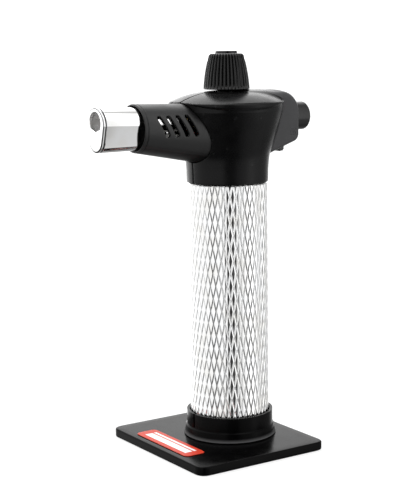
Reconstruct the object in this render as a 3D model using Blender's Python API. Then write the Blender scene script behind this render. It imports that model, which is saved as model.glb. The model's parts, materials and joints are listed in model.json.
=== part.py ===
"""Table-top butane torch: knurled tank handle, two-shell head, barrel with flame tube, and a plate stand.

Lengths are metres, +Z is up.  The origin is on the tank axis at the underside of the stand plate.
The barrel points along -X, the ignition button is at +X, and the head parts along the plane y = 0.
Every piece is one closed body, and neighbouring pieces keep a small gap.
"""
import math

import bmesh
import bpy
from mathutils import Matrix, Vector

MM = 0.001
MERGE = 1e-7
TURN = 2.0 * math.pi

# Segments round a turned piece.
FINE = 40
MEDIUM = 28
SMALL = 16
TINY = 10

# Gaps: between parted pieces, and between the small inner pieces.
GAP = 0.3 * MM
SLIM_GAP = 0.15 * MM

# Stand.
PLATE_LENGTH = 67.5 * MM
PLATE_WIDTH = 76.0 * MM
PLATE_THICKNESS = 4.0 * MM
PLATE_CENTRE_X = -7.5 * MM
PLATE_CORNER = 5.0 * MM
COLLAR_TOP = 15.5 * MM
COLLAR_STEP = 8.3 * MM
COLLAR_FLOOR = 6.9 * MM
COLLAR_RADIUS = 19.8 * MM
COLLAR_FOOT_RADIUS = 21.2 * MM
COLLAR_SCREW_RADIUS = 11.5 * MM
COLLAR_SCREW_ANGLES = (60.0, 180.0, 300.0)
LABEL_CENTRE = (-32.6 * MM, 0.5 * MM)
LABEL_SIZE = (10.6 * MM, 43.0 * MM)
LABEL_CORNER = 2.6 * MM
LABEL_THICKNESS = 0.25 * MM

# Handle.
GRIP_RADIUS = 18.0 * MM
GRIP_BORE = 17.25 * MM
GRIP_BOTTOM = 7.3 * MM
GRIP_TOP = 120.6 * MM
TANK_RADIUS = 16.9 * MM
TANK_WALL = 1.3 * MM
TANK_BOTTOM = 11.4 * MM
TANK_TOP = 119.0 * MM

# Head.
NECK_BOTTOM = 120.9 * MM
NECK_RADIUS = 18.4 * MM
RIM_RADIUS = 25.9 * MM
CREASE_RADIUS = 25.1 * MM
CREASE_Z = 157.0 * MM
CROWN_Z = 161.7 * MM
CROWN_POWER = 2.4
SHELL_WALL = 1.9 * MM
BLOCK_HALF_WIDTH = 10.5 * MM
BLOCK_REAR = 33.1 * MM
BLOCK_TOP = 161.1 * MM
BOSS_RADIUS = 2.6 * MM
SCREW_SHANK = 1.0 * MM
SCREW_HEAD = 1.75 * MM
# Shell screws: x, z, and how far out along +Y the head's seat is.
SHELL_SCREWS = (
    (-11.0 * MM, 127.8 * MM, 11.6 * MM),
    (12.6 * MM, 134.8 * MM, 11.6 * MM),
    (-6.4 * MM, 154.6 * MM, 20.5 * MM),
)

# Barrel: an oblique cone whose circles stand upright.
MOUTH_X = -48.8 * MM
MOUTH_Z = 146.9 * MM
MOUTH_RADIUS = 10.5 * MM
ROOT_X = -18.0 * MM
ROOT_Z = 143.5 * MM
ROOT_RADIUS = 13.0 * MM
BARREL_INNER_END = -14.5 * MM
BARREL_WALL = 1.4 * MM
SLOT_X = (-39.7 * MM, -35.1 * MM, -30.5 * MM, -25.9 * MM)
SLOT_Z = 147.7 * MM
SLOT_LENGTH = 10.0 * MM
SLOT_WIDTH = 1.9 * MM
SLOT_SLANT = math.radians(24.0)

# Burner.
BURNER_Z = 149.5 * MM
FACE_X = -67.4 * MM
FLAME_TUBE_END = -44.0 * MM
FLAME_TUBE_RADIUS = 6.85 * MM
FLAME_TUBE_FOOT_RADIUS = 3.9 * MM
FLAME_TUBE_FOOT_DROP = 8.1 * MM
FLAME_TUBE_WALL = 0.7 * MM
FLAME_OPENING = 4.7 * MM
FLAME_OPENING_RISE = 0.7 * MM
FLAME_OPENING_APEX = 3.8 * MM
FLAME_OPENING_FLANK = 32.0
BURNER_TUBE = (5.1 * MM, 5.6 * MM, 43.3 * MM, 64.3 * MM)
MIXING_TUBE = (4.2 * MM, 5.0 * MM, 21.0 * MM, 43.0 * MM)
AIR_PORT_X = -24.5 * MM
AIR_PORT_RADIUS = 1.4 * MM
HOLDER_RADIUS = 4.8 * MM
HOLDER_START = 57.0 * MM
HOLDER_END = 60.0 * MM
FLAME_PORTS = 6
FLAME_PORT_RADIUS = 0.9 * MM
FLAME_PORT_CIRCLE = 2.9 * MM
ELECTRODE_Z = 141.4 * MM

# Controls.
KNOB_BOTTOM = 162.2 * MM
KNOB_TOP = 178.0 * MM
KNOB_RADIUS = 10.4 * MM
KNOB_TOP_RADIUS = 7.7 * MM
KNOB_FLUTES = 36
KNOB_FLUTE_DEPTH = 0.35 * MM
KNOB_SHOULDER = KNOB_TOP - 1.6 * MM
KNOB_ROOF = 173.5 * MM
KNOB_WALL = 1.6 * MM
KNOB_RECESS = 5.1 * MM
HUB_RADIUS = 4.2 * MM
HUB_BOTTOM = 158.2 * MM
CAP_TOP = 179.2 * MM
VALVE_RADIUS = 4.5 * MM
VALVE_BOTTOM = 115.5 * MM
VALVE_TOP = 148.0 * MM
VALVE_CHAMBER = 3.0 * MM
GAS_OUTLET_Z = 144.0 * MM
NEEDLE_SEAT_Z = 134.0 * MM
NEEDLE_TOP = 142.1 * MM
# The needle climbs 0.376 mm, so the spindle above it starts well clear.
SPINDLE_BOTTOM = 142.9 * MM
SPINDLE_TOP = 171.0 * MM
SPINDLE_RADIUS = 1.7 * MM
LEVER_Z = 140.3 * MM
LEVER_THICKNESS = 1.2 * MM
LEVER_TAB_X = 29.0 * MM
BUTTON_Z = 148.6 * MM
BUTTON_RADIUS = 6.5 * MM
BUTTON_END = 43.6 * MM
BUTTON_INNER_END = 27.8 * MM
PIEZO_FRONT = 7.8 * MM
PIEZO_REAR = 22.0 * MM
PIEZO_HALF = 4.1 * MM
PIEZO_WALL = 1.0 * MM
PLUNGER_HALF = 2.7 * MM
PLUNGER_FRONT = 18.0 * MM

# Turns that lay a piece made along +Z onto another axis.
UPRIGHT = (0.0, 0.0, 0.0)
FORWARD = (0.0, -math.pi / 2, 0.0)
BACKWARD = (0.0, math.pi / 2, 0.0)
SIDEWAYS = (-math.pi / 2, 0.0, 0.0)


def clear_scene():
    for old in list(bpy.data.objects):
        bpy.data.objects.remove(old, do_unlink=True)


def material(name, colour, roughness, metallic=0.0):
    made = bpy.data.materials.new(name)
    made.use_nodes = True
    shader = made.node_tree.nodes["Principled BSDF"]
    shader.inputs["Base Color"].default_value = (*colour, 1.0)
    shader.inputs["Roughness"].default_value = roughness
    shader.inputs["Metallic"].default_value = metallic
    return made


# ---------------------------------------------------------------- shapes

def place(name, shape, surface, location=(0.0, 0.0, 0.0), rotation=UPRIGHT, parent=None):
    """Turn a bmesh into a named object with its own material."""
    bmesh.ops.recalc_face_normals(shape, faces=shape.faces)
    mesh = bpy.data.meshes.new(name)
    shape.to_mesh(mesh)
    shape.free()
    mesh.shade_smooth()
    mesh.set_sharp_from_angle(angle=math.radians(35.0))
    made = bpy.data.objects.new(name, mesh)
    bpy.context.scene.collection.objects.link(made)
    made.location = location
    made.rotation_euler = rotation
    if surface is not None:
        mesh.materials.append(surface)
    if parent is not None:
        made.parent = parent
        made.matrix_parent_inverse = Matrix.Translation(-parent.location)
    return made


def pivot(name, location):
    """An empty on a joint's axis."""
    made = bpy.data.objects.new(name, None)
    made.location = location
    bpy.context.scene.collection.objects.link(made)
    return made


def turned(section, segments):
    """Spin a half-section of (radius, height) points round Z; a section that leaves the axis is a ring."""
    shape = bmesh.new()
    corners = [shape.verts.new((radius, 0.0, height)) for radius, height in section]
    edges = [shape.edges.new(pair) for pair in zip(corners, corners[1:])]
    if section[0][0] > 0.0:
        edges.append(shape.edges.new((corners[-1], corners[0])))
    bmesh.ops.spin(
        shape, geom=corners + edges, cent=(0.0, 0.0, 0.0), axis=(0.0, 0.0, 1.0),
        angle=TURN, steps=segments, use_merge=True,
    )
    bmesh.ops.remove_doubles(shape, verts=shape.verts, dist=MERGE)
    return shape


def rod(radius, start, end, bevel=0.0):
    """Half-section of a plain rod from start to end."""
    if bevel == 0.0:
        return [(0.0, start), (radius, start), (radius, end), (0.0, end)]
    return [
        (0.0, start), (radius - bevel, start), (radius, start + bevel),
        (radius, end - bevel), (radius - bevel, end), (0.0, end),
    ]


def sleeve(bore, radius, start, end):
    """Half-section of a plain tube from start to end."""
    return [(bore, start), (radius, start), (radius, end), (bore, end)]


def loft(rings, closed=False):
    """Join rings of equally many points; the ends are capped, or joined to each other when closed."""
    shape = bmesh.new()
    rows = [[shape.verts.new(point) for point in ring] for ring in rings]
    count = len(rows[0])
    pairs = list(zip(rows, rows[1:]))
    if closed:
        pairs.append((rows[-1], rows[0]))
    for lower, upper in pairs:
        for index in range(count):
            after = (index + 1) % count
            shape.faces.new((lower[index], lower[after], upper[after], upper[index]))
    if not closed:
        shape.faces.new(rows[0])
        shape.faces.new(rows[-1])
    return shape


def arc(centre, radius, start, end, steps):
    """Points of an arc in a plane, angles in degrees."""
    points = []
    for index in range(steps + 1):
        angle = math.radians(start + (end - start) * index / steps)
        points.append((centre[0] + radius * math.cos(angle), centre[1] + radius * math.sin(angle)))
    return points


def rounded_rectangle(length, width, radius, steps=5):
    """Outline of a rectangle with round corners, centred on the origin."""
    half_length = length / 2 - radius
    half_width = width / 2 - radius
    outline = []
    for index, (sx, sy) in enumerate(((1, 1), (-1, 1), (-1, -1), (1, -1))):
        corner = (sx * half_length, sy * half_width)
        outline += arc(corner, radius, 90.0 * index, 90.0 * (index + 1), steps)
    return outline


def slab(outline, levels):
    """Stack an outline at (height, inset) levels, pulling it towards its centre by the inset."""
    reach_x = max(x for x, y in outline)
    reach_y = max(y for x, y in outline)
    rings = []
    for height, inset in levels:
        scale_x = 1.0 - inset / reach_x
        scale_y = 1.0 - inset / reach_y
        rings.append([(x * scale_x, y * scale_y, height) for x, y in outline])
    return loft(rings)


def prism_along_y(outline, half_width, bevel=0.0):
    """Extrude an (x, z) outline from -half_width to +half_width, with optional rounded sides."""
    centre_x = sum(x for x, z in outline) / len(outline)
    centre_z = sum(z for x, z in outline) / len(outline)
    reach = max(abs(z - centre_z) for x, z in outline)
    levels = [(-half_width, 0.0), (half_width, 0.0)]
    if bevel > 0.0:
        straight = half_width - bevel
        levels = [(-half_width, bevel), (-straight, 0.0), (straight, 0.0), (half_width, bevel)]
    rings = []
    for y, inset in levels:
        scale = 1.0 - inset / reach
        rings.append([
            (centre_x + (x - centre_x) * scale, y, centre_z + (z - centre_z) * scale) for x, z in outline
        ])
    return loft(rings)


def box(x_range, y_range, z_range):
    """A rectangular block between the given ranges."""
    shape = bmesh.new()
    bmesh.ops.create_cube(shape, size=1.0)
    size = [high - low for low, high in (x_range, y_range, z_range)]
    middle = [(high + low) / 2 for low, high in (x_range, y_range, z_range)]
    bmesh.ops.scale(shape, verts=shape.verts, vec=size)
    bmesh.ops.translate(shape, verts=shape.verts, vec=middle)
    return shape


def sweep_frames(points):
    """Tangent and two side directions at each point of a path, without twist."""
    frames = []
    side = None
    for index, point in enumerate(points):
        before = points[max(index - 1, 0)]
        after = points[min(index + 1, len(points) - 1)]
        tangent = (after - before).normalized()
        if side is None:
            side = tangent.orthogonal().normalized()
        side = (side - tangent * side.dot(tangent)).normalized()
        frames.append((point, side, tangent.cross(side)))
    return frames


def pipe(points, radius, segments, bore=0.0):
    """Sweep a round wire, or a tube when it has a bore, along a path."""
    def ring(frame, size):
        point, side, other = frame
        return [
            point + (side * math.cos(TURN * k / segments) + other * math.sin(TURN * k / segments)) * size
            for k in range(segments)
        ]

    frames = sweep_frames([Vector(point) for point in points])
    rings = [ring(frame, radius) for frame in frames]
    if bore == 0.0:
        return loft(rings)
    rings += [ring(frame, bore) for frame in reversed(frames)]
    return loft(rings, closed=True)


def smooth_path(points, steps):
    """Catmull-Rom curve through the given points."""
    vectors = [Vector(point) for point in points]
    vectors = [vectors[0] * 2 - vectors[1]] + vectors + [vectors[-1] * 2 - vectors[-2]]
    path = []
    for index in range(1, len(vectors) - 2):
        a, b, c, d = vectors[index - 1:index + 3]
        for step in range(steps):
            t = step / steps
            path.append(0.5 * (
                2 * b + (c - a) * t + (2 * a - 5 * b + 4 * c - d) * t * t
                + (3 * b - a - 3 * c + d) * t * t * t
            ))
    path.append(vectors[-2])
    return path


def coil(radius, start, end, turns, steps_per_turn=10):
    """Points along a helical spring on Z."""
    count = round(turns * steps_per_turn)
    points = []
    for index in range(count + 1):
        angle = TURN * index / steps_per_turn
        height = start + (end - start) * index / count
        points.append((radius * math.cos(angle), radius * math.sin(angle), height))
    return points


# ---------------------------------------------------------------- booleans

def cutter(name, shape, location=(0.0, 0.0, 0.0), rotation=UPRIGHT):
    """A guide body for Booleans, which is not part of the object."""
    made = place(name, shape, None, location, rotation)
    made.hide_render = True
    made.display_type = "WIRE"
    return made


def combine(target, tool, operation):
    change = target.modifiers.new(f"{operation.lower()}_{tool.name}", "BOOLEAN")
    change.operation = operation
    change.solver = "EXACT"
    change.object = tool


def cut(target, tool):
    combine(target, tool, "DIFFERENCE")


def add(target, tool):
    combine(target, tool, "UNION")


# ---------------------------------------------------------------- stand

def build_stand(plastic, steel, label_red):
    outline = rounded_rectangle(PLATE_LENGTH, PLATE_WIDTH, PLATE_CORNER)
    levels = (
        (0.0, 0.4 * MM), (0.4 * MM, 0.0), (PLATE_THICKNESS - 0.6 * MM, 0.0), (PLATE_THICKNESS, 0.6 * MM),
    )
    plate = place("stand_plate", slab(outline, levels), plastic, (PLATE_CENTRE_X, 0.0, 0.0))

    floor = PLATE_THICKNESS + GAP
    centre_hole = 7.0 * MM
    collar_section = [
        (centre_hole, floor), (COLLAR_FOOT_RADIUS, floor), (COLLAR_FOOT_RADIUS, floor + 0.5 * MM),
        (COLLAR_RADIUS + 0.7 * MM, floor + 1.2 * MM), (COLLAR_RADIUS + 0.7 * MM, COLLAR_STEP),
        (COLLAR_RADIUS, COLLAR_STEP + 0.5 * MM), (COLLAR_RADIUS, COLLAR_TOP - 0.4 * MM),
        (COLLAR_RADIUS - 0.4 * MM, COLLAR_TOP), (GRIP_RADIUS + 0.7 * MM, COLLAR_TOP),
        (GRIP_RADIUS + 0.35 * MM, COLLAR_TOP - 0.4 * MM), (GRIP_RADIUS + 0.35 * MM, COLLAR_FLOOR),
        (centre_hole, COLLAR_FLOOR),
    ]
    collar = place("stand_collar", turned(collar_section, FINE), plastic)
    slit_half_width = 0.6 * MM
    slit = cutter("collar_slit", box(
        (-30.0 * MM, 30.0 * MM), (-slit_half_width, slit_half_width), (COLLAR_STEP + 0.9 * MM, 20.0 * MM),
    ))
    cut(collar, slit)

    shank = 1.2 * MM
    head = 2.8 * MM
    head_top = 1.9 * MM
    screw_end = COLLAR_FLOOR - 0.5 * MM
    screw_section = [
        (0.0, 1.1 * MM), (0.9 * MM, 0.5 * MM), (head - 0.4 * MM, 0.5 * MM), (head, 0.9 * MM),
        (head, head_top), (shank, head_top), (shank, screw_end - 0.5 * MM), (0.6 * MM, screw_end),
        (0.0, screw_end),
    ]
    hole_section = [
        (0.0, -1.0 * MM), (head + GAP, -1.0 * MM), (head + GAP, head_top + GAP),
        (shank + GAP, head_top + GAP), (shank + GAP, 10.0 * MM), (0.0, 10.0 * MM),
    ]
    for number, degrees in enumerate(COLLAR_SCREW_ANGLES, start=1):
        angle = math.radians(degrees)
        spot = (COLLAR_SCREW_RADIUS * math.cos(angle), COLLAR_SCREW_RADIUS * math.sin(angle), 0.0)
        hole = cutter(f"collar_screw_hole_{number}", turned(hole_section, TINY), spot)
        cut(plate, hole)
        cut(collar, hole)
        place(f"collar_screw_{number}", turned(screw_section, TINY), steel, spot)

    label_bottom = PLATE_THICKNESS + 0.1 * MM
    label_outline = rounded_rectangle(*LABEL_SIZE, LABEL_CORNER)
    label_levels = ((label_bottom, 0.0), (label_bottom + LABEL_THICKNESS, 0.0))
    place("stand_label", slab(label_outline, label_levels), label_red, (*LABEL_CENTRE, 0.0))


# ---------------------------------------------------------------- handle and tank

def build_handle(aluminium, nylon, brass, rubber, steel, felt, stem_pivot):
    chamfer = 0.25 * MM
    grip_section = [
        (GRIP_BORE, GRIP_BOTTOM), (GRIP_RADIUS - chamfer, GRIP_BOTTOM),
        (GRIP_RADIUS, GRIP_BOTTOM + chamfer),
        (GRIP_RADIUS, GRIP_TOP - chamfer), (GRIP_RADIUS - chamfer, GRIP_TOP), (GRIP_BORE, GRIP_TOP),
    ]
    place("grip_sleeve", turned(grip_section, FINE), aluminium)

    plug_radius = GRIP_BORE - GAP
    plug_bottom = GRIP_BOTTOM + 0.2 * MM
    well = 4.6 * MM
    plug_section = [
        (well, 8.2 * MM), (8.0 * MM, plug_bottom), (plug_radius - 0.4 * MM, plug_bottom),
        (plug_radius, plug_bottom + 0.4 * MM), (plug_radius, TANK_BOTTOM - GAP), (well, TANK_BOTTOM - GAP),
    ]
    place("base_plug", turned(plug_section, FINE), nylon)

    floor_top = TANK_BOTTOM + 2.6 * MM
    valve_radius = 3.8 * MM
    inner = TANK_RADIUS - TANK_WALL
    tank_section = [
        (valve_radius + GAP, TANK_BOTTOM), (TANK_RADIUS, TANK_BOTTOM), (TANK_RADIUS, TANK_TOP),
        (inner, TANK_TOP), (inner, floor_top), (valve_radius + GAP, floor_top),
    ]
    place("fuel_tank", turned(tank_section, MEDIUM), nylon)

    top_bore = 4.8 * MM
    flange_bottom = TANK_TOP + GAP
    spigot_radius = 15.4 * MM
    top_section = [
        (top_bore, 116.8 * MM), (inner - GAP, 116.8 * MM), (inner - GAP, flange_bottom),
        (TANK_RADIUS, flange_bottom), (TANK_RADIUS, GRIP_TOP), (spigot_radius, GRIP_TOP),
        (spigot_radius, 124.0 * MM), (top_bore, 124.0 * MM),
    ]
    place("tank_top", turned(top_section, MEDIUM), nylon)

    chamber = 2.7 * MM
    seat_z = 12.5 * MM
    roof_z = 20.0 * MM
    nozzle_bore = 1.5 * MM
    flange_z = floor_top + GAP
    fill_section = [
        (nozzle_bore, 8.6 * MM), (valve_radius, 8.6 * MM), (valve_radius, flange_z), (5.8 * MM, flange_z),
        (5.8 * MM, flange_z + 1.4 * MM), (valve_radius, flange_z + 1.4 * MM), (valve_radius, 21.0 * MM),
        (1.2 * MM, 21.0 * MM), (1.2 * MM, roof_z), (chamber, roof_z), (chamber, seat_z),
        (nozzle_bore, seat_z),
    ]
    place("fill_valve_body", turned(fill_section, SMALL), brass)

    seal_section = sleeve(1.35 * MM, chamber - 2 * SLIM_GAP, seat_z + SLIM_GAP, seat_z + 0.6 * MM)
    place("fill_valve_seal", turned(seal_section, SMALL), rubber)

    collar_z = seat_z + 0.75 * MM
    stem_section = [
        (0.0, 9.2 * MM), (1.0 * MM, 9.2 * MM), (1.15 * MM, 9.5 * MM), (1.15 * MM, collar_z),
        (2.3 * MM, collar_z), (2.3 * MM, collar_z + 1.0 * MM), (0.9 * MM, collar_z + 1.0 * MM),
        (0.9 * MM, 16.4 * MM), (0.0, 16.4 * MM),
    ]
    place("fill_valve_stem", turned(stem_section, SMALL), brass, parent=stem_pivot)

    wire = 0.25 * MM
    spring_bottom = collar_z + 1.0 * MM + wire + SLIM_GAP
    spring_path = coil(1.8 * MM, spring_bottom, roof_z - wire - SLIM_GAP, 4.0)
    place("fill_valve_spring", pipe(spring_path, wire, 5), steel)

    place("wick_tube", turned(sleeve(2.4 * MM, 3.2 * MM, 26.0 * MM, 115.0 * MM), TINY), nylon)
    place("fuel_wick", turned(rod(2.0 * MM, 23.0 * MM, 114.5 * MM), TINY), felt)


# ---------------------------------------------------------------- gas valve, knob and lever

def build_gas_valve(brass, rubber, steel, plastic, needle_pivot, knob_pivot, lever_pivot):
    stem_bore = 0.9 * MM
    nut_radius = 7.2 * MM
    nut_bottom = 124.3 * MM
    nut_top = 127.3 * MM
    valve_section = [
        (stem_bore, VALVE_BOTTOM), (VALVE_RADIUS, VALVE_BOTTOM), (VALVE_RADIUS, nut_bottom),
        (nut_radius, nut_bottom), (nut_radius, nut_top), (VALVE_RADIUS, nut_top),
        (VALVE_RADIUS, VALVE_TOP), (VALVE_CHAMBER, VALVE_TOP), (VALVE_CHAMBER, NEEDLE_SEAT_Z),
        (stem_bore, NEEDLE_SEAT_Z),
    ]
    valve = place("gas_valve_body", turned(valve_section, SMALL), brass)
    outlet_shape = turned(rod(0.8 * MM, 1.0 * MM, 6.0 * MM), TINY)
    cut(valve, cutter("gas_outlet", outlet_shape, (0.0, 0.0, GAS_OUTLET_Z), FORWARD))

    needle_radius = 2.2 * MM
    needle_section = [
        (0.0, NEEDLE_SEAT_Z + GAP), (0.6 * MM, NEEDLE_SEAT_Z + 1.3 * MM),
        (1.1 * MM, NEEDLE_SEAT_Z + 3.0 * MM), (needle_radius, NEEDLE_SEAT_Z + 3.5 * MM),
        (needle_radius, NEEDLE_TOP), (0.0, NEEDLE_TOP),
    ]
    place("metering_needle", turned(needle_section, SMALL), steel, parent=needle_pivot)

    packing_radius = VALVE_CHAMBER - SLIM_GAP
    seal_section = sleeve(SPINDLE_RADIUS + GAP, packing_radius, 145.6 * MM, 146.8 * MM)
    place("spindle_seal", turned(seal_section, SMALL), rubber)

    gland_bore = 2.1 * MM
    gland_bottom = 147.2 * MM
    gland_top = 151.8 * MM
    gland_radius = 5.4 * MM
    gland_section = [
        (gland_bore, gland_bottom), (packing_radius, gland_bottom), (packing_radius, VALVE_TOP + GAP),
        (gland_radius, VALVE_TOP + GAP), (gland_radius, gland_top - 0.4 * MM),
        (gland_radius - 0.4 * MM, gland_top), (gland_bore, gland_top),
    ]
    place("gland_nut", turned(gland_section, SMALL), brass)

    flange_radius = 2.5 * MM
    flange_top = SPINDLE_BOTTOM + 1.5 * MM
    spindle_section = [
        (0.0, SPINDLE_BOTTOM), (flange_radius, SPINDLE_BOTTOM), (flange_radius, flange_top),
        (SPINDLE_RADIUS, flange_top), (SPINDLE_RADIUS, SPINDLE_TOP), (0.0, SPINDLE_TOP),
    ]
    place("valve_spindle", turned(spindle_section, SMALL), brass, parent=knob_pivot)

    build_knob(plastic, steel, knob_pivot)
    build_lever(plastic, lever_pivot)


def build_knob(plastic, steel, knob_pivot):
    bore = SPINDLE_RADIUS + 0.25 * MM
    bulge = 0.35 * MM
    span = KNOB_TOP - KNOB_BOTTOM

    def side(height):
        """Outer radius: a straight taper with slightly bulging sides."""
        part = (height - KNOB_BOTTOM) / span
        return KNOB_RADIUS + (KNOB_TOP_RADIUS - KNOB_RADIUS) * part + bulge * math.sin(math.pi * part)

    section = [(bore, HUB_BOTTOM), (HUB_RADIUS, HUB_BOTTOM), (HUB_RADIUS, KNOB_ROOF)]
    section += [(side(KNOB_ROOF) - KNOB_WALL, KNOB_ROOF), (KNOB_RADIUS - KNOB_WALL, KNOB_BOTTOM)]
    section += [(KNOB_RADIUS - 0.3 * MM, KNOB_BOTTOM)]
    for height in (KNOB_BOTTOM + 0.3 * MM, KNOB_BOTTOM + 1.2 * MM, KNOB_BOTTOM + 0.5 * span, KNOB_SHOULDER):
        section.append((side(height), height))
    section += [(side(KNOB_SHOULDER) - 1.3 * MM, KNOB_TOP), (KNOB_RECESS, KNOB_TOP)]
    section += [(KNOB_RECESS, KNOB_SHOULDER), (bore, KNOB_SHOULDER)]
    shape = turned(section, 2 * KNOB_FLUTES)
    flute_low = KNOB_BOTTOM + 1.0 * MM
    for corner in shape.verts:
        radius = math.hypot(corner.co.x, corner.co.y)
        step = round(math.atan2(corner.co.y, corner.co.x) * KNOB_FLUTES / math.pi)
        on_height = flute_low < corner.co.z <= KNOB_SHOULDER + MERGE
        if step % 2 and on_height and radius > side(corner.co.z) - 0.2 * MM:
            shrink = 1.0 - KNOB_FLUTE_DEPTH / radius
            corner.co.x *= shrink
            corner.co.y *= shrink
    place("flow_knob", shape, plastic, parent=knob_pivot)

    shank = 1.1 * MM
    head = bore - SLIM_GAP
    head_bottom = KNOB_SHOULDER - 1.9 * MM
    head_top = KNOB_SHOULDER - 0.4 * MM
    screw_bottom = SPINDLE_TOP + GAP
    screw_section = [
        (0.0, screw_bottom), (shank, screw_bottom), (shank, head_bottom), (head, head_bottom),
        (head, head_top), (0.0, head_top),
    ]
    place("knob_screw", turned(screw_section, TINY), steel, parent=knob_pivot)

    cap_bottom = KNOB_SHOULDER + SLIM_GAP
    cap_radius = KNOB_RECESS - SLIM_GAP
    cap_section = [
        (0.0, cap_bottom), (cap_radius, cap_bottom), (cap_radius, CAP_TOP - 0.4 * MM),
        (cap_radius - 0.5 * MM, CAP_TOP), (0.0, CAP_TOP),
    ]
    place("knob_cap", turned(cap_section, MEDIUM), plastic, parent=knob_pivot)


def build_lever(plastic, lever_pivot):
    """Flat ring round the valve body with an arm to the rear and a tab that turns down through the head."""
    ring = turned(sleeve(4.9 * MM, 7.2 * MM, LEVER_Z, LEVER_Z + LEVER_THICKNESS), SMALL)
    lever = place("flame_lever", ring, plastic, parent=lever_pivot)
    half_tab = 1.3 * MM
    half_arm = 1.5 * MM
    half_tab_width = 2.3 * MM
    tab_bottom = 132.9 * MM
    lever_top = LEVER_Z + LEVER_THICKNESS
    tab_range = (LEVER_TAB_X - half_tab, LEVER_TAB_X + half_tab)
    arm = cutter("lever_arm", box((6.4 * MM, tab_range[1]), (-half_arm, half_arm), (LEVER_Z, lever_top)))
    tab = cutter("lever_tab", box(tab_range, (-half_tab_width, half_tab_width), (tab_bottom, lever_top)))
    add(lever, arm)
    add(lever, tab)


# ---------------------------------------------------------------- head shells

def neck_outline(inset):
    """Half-section of the head from the neck up over the crown, pulled in by the inset."""
    section = [
        (0.0, NECK_BOTTOM), (NECK_RADIUS - 0.4 * MM, NECK_BOTTOM), (NECK_RADIUS, NECK_BOTTOM + 0.4 * MM),
        (18.5 * MM, 128.5 * MM), (19.2 * MM, 133.3 * MM), (20.7 * MM, 137.5 * MM), (23.3 * MM, 145.9 * MM),
        (25.3 * MM, 153.6 * MM), (25.75 * MM, 154.1 * MM), (RIM_RADIUS, 155.3 * MM),
        (25.7 * MM, 156.4 * MM), (CREASE_RADIUS, CREASE_Z),
    ]
    steps = 6
    for index in range(1, steps + 1):
        radius = CREASE_RADIUS * (1.0 - index / steps)
        drop = (CROWN_Z - CREASE_Z) * (radius / CREASE_RADIUS) ** CROWN_POWER
        section.append((radius, CROWN_Z - drop))
    if inset == 0.0:
        return section
    inner = [(0.0, NECK_BOTTOM - 1.0 * MM), (NECK_RADIUS - 2.4 * MM, NECK_BOTTOM - 1.0 * MM)]
    inner += [(NECK_RADIUS - 2.4 * MM, 127.0 * MM)]
    inner += [(radius - inset, height) for radius, height in section[4:8]]
    inner += [(RIM_RADIUS - 2 * inset, CREASE_Z - inset)]
    inner += [(radius * 0.86, height - inset) for radius, height in section[13:]]
    return inner


def block_outline(inset):
    """Side outline of the rear block: a large round at the top corner and a sloping underside."""
    top_round = 8.4 * MM
    foot_round = 3.0 * MM
    foot_z = 137.6 * MM
    outline = [(6.0 * MM, BLOCK_TOP - inset)]
    outline += arc((BLOCK_REAR - top_round, BLOCK_TOP - top_round), top_round - inset, 90.0, 0.0, 6)
    outline += arc((BLOCK_REAR - foot_round, foot_z + foot_round), foot_round - inset, 0.0, -65.0, 3)
    outline += [(16.0 * MM, 132.3 * MM + inset), (6.0 * MM, 129.2 * MM + inset)]
    return outline


def barrel_ring(x, offset, segments):
    """One upright circle of the barrel's cone, offset outwards."""
    part = (x - MOUTH_X) / (ROOT_X - MOUTH_X)
    centre = MOUTH_Z + (ROOT_Z - MOUTH_Z) * part
    radius = MOUTH_RADIUS + (ROOT_RADIUS - MOUTH_RADIUS) * part + offset
    return [
        (x, radius * math.sin(TURN * k / segments), centre + radius * math.cos(TURN * k / segments))
        for k in range(segments)
    ]


def head_tools():
    """Bodies that shape both shells: what is added outside, and what is taken away."""
    block = cutter("rear_block", prism_along_y(block_outline(0.0), BLOCK_HALF_WIDTH, 1.2 * MM))
    hollow = cutter("head_hollow", turned(neck_outline(SHELL_WALL), FINE))
    inner_block = prism_along_y(block_outline(SHELL_WALL), BLOCK_HALF_WIDTH - SHELL_WALL)
    add(hollow, cutter("block_hollow", inner_block))

    seat_rings = [barrel_ring(x, GAP, FINE) for x in (-32.0 * MM, BARREL_INNER_END + GAP)]
    barrel_seat = cutter("barrel_seat", loft(seat_rings))
    knob_hole = cutter("knob_hole", turned(rod(HUB_RADIUS + 0.4 * MM, 150.0 * MM, 170.0 * MM), SMALL))
    button_hole = cutter(
        "button_hole", turned(rod(BUTTON_RADIUS + 0.35 * MM, 24.0 * MM, 40.0 * MM), MEDIUM),
        (0.0, 0.0, BUTTON_Z), BACKWARD,
    )
    lever_slot = cutter("lever_slot", box(
        (26.5 * MM, 30.8 * MM), (-7.8 * MM, 7.8 * MM), (132.0 * MM, 141.0 * MM),
    ))

    screw_holes = []
    bore = SCREW_SHANK + 2 * SLIM_GAP
    recess = SCREW_HEAD + 2 * SLIM_GAP
    beyond = 30.0 * MM
    for number, (x, z, seat) in enumerate(SHELL_SCREWS, start=1):
        axis = (x, 0.0, z)
        boss_shape = turned(rod(BOSS_RADIUS, -beyond, beyond), TINY)
        cut(hollow, cutter(f"screw_boss_{number}", boss_shape, axis, SIDEWAYS))
        hole = [
            (0.0, -8.0 * MM), (bore, -8.0 * MM), (bore, seat), (recess, seat),
            (recess, beyond), (0.0, beyond),
        ]
        screw_holes.append(cutter(f"shell_screw_hole_{number}", turned(hole, TINY), axis, SIDEWAYS))
    return block, [hollow, barrel_seat, knob_hole, button_hole, lever_slot] + screw_holes


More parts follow.
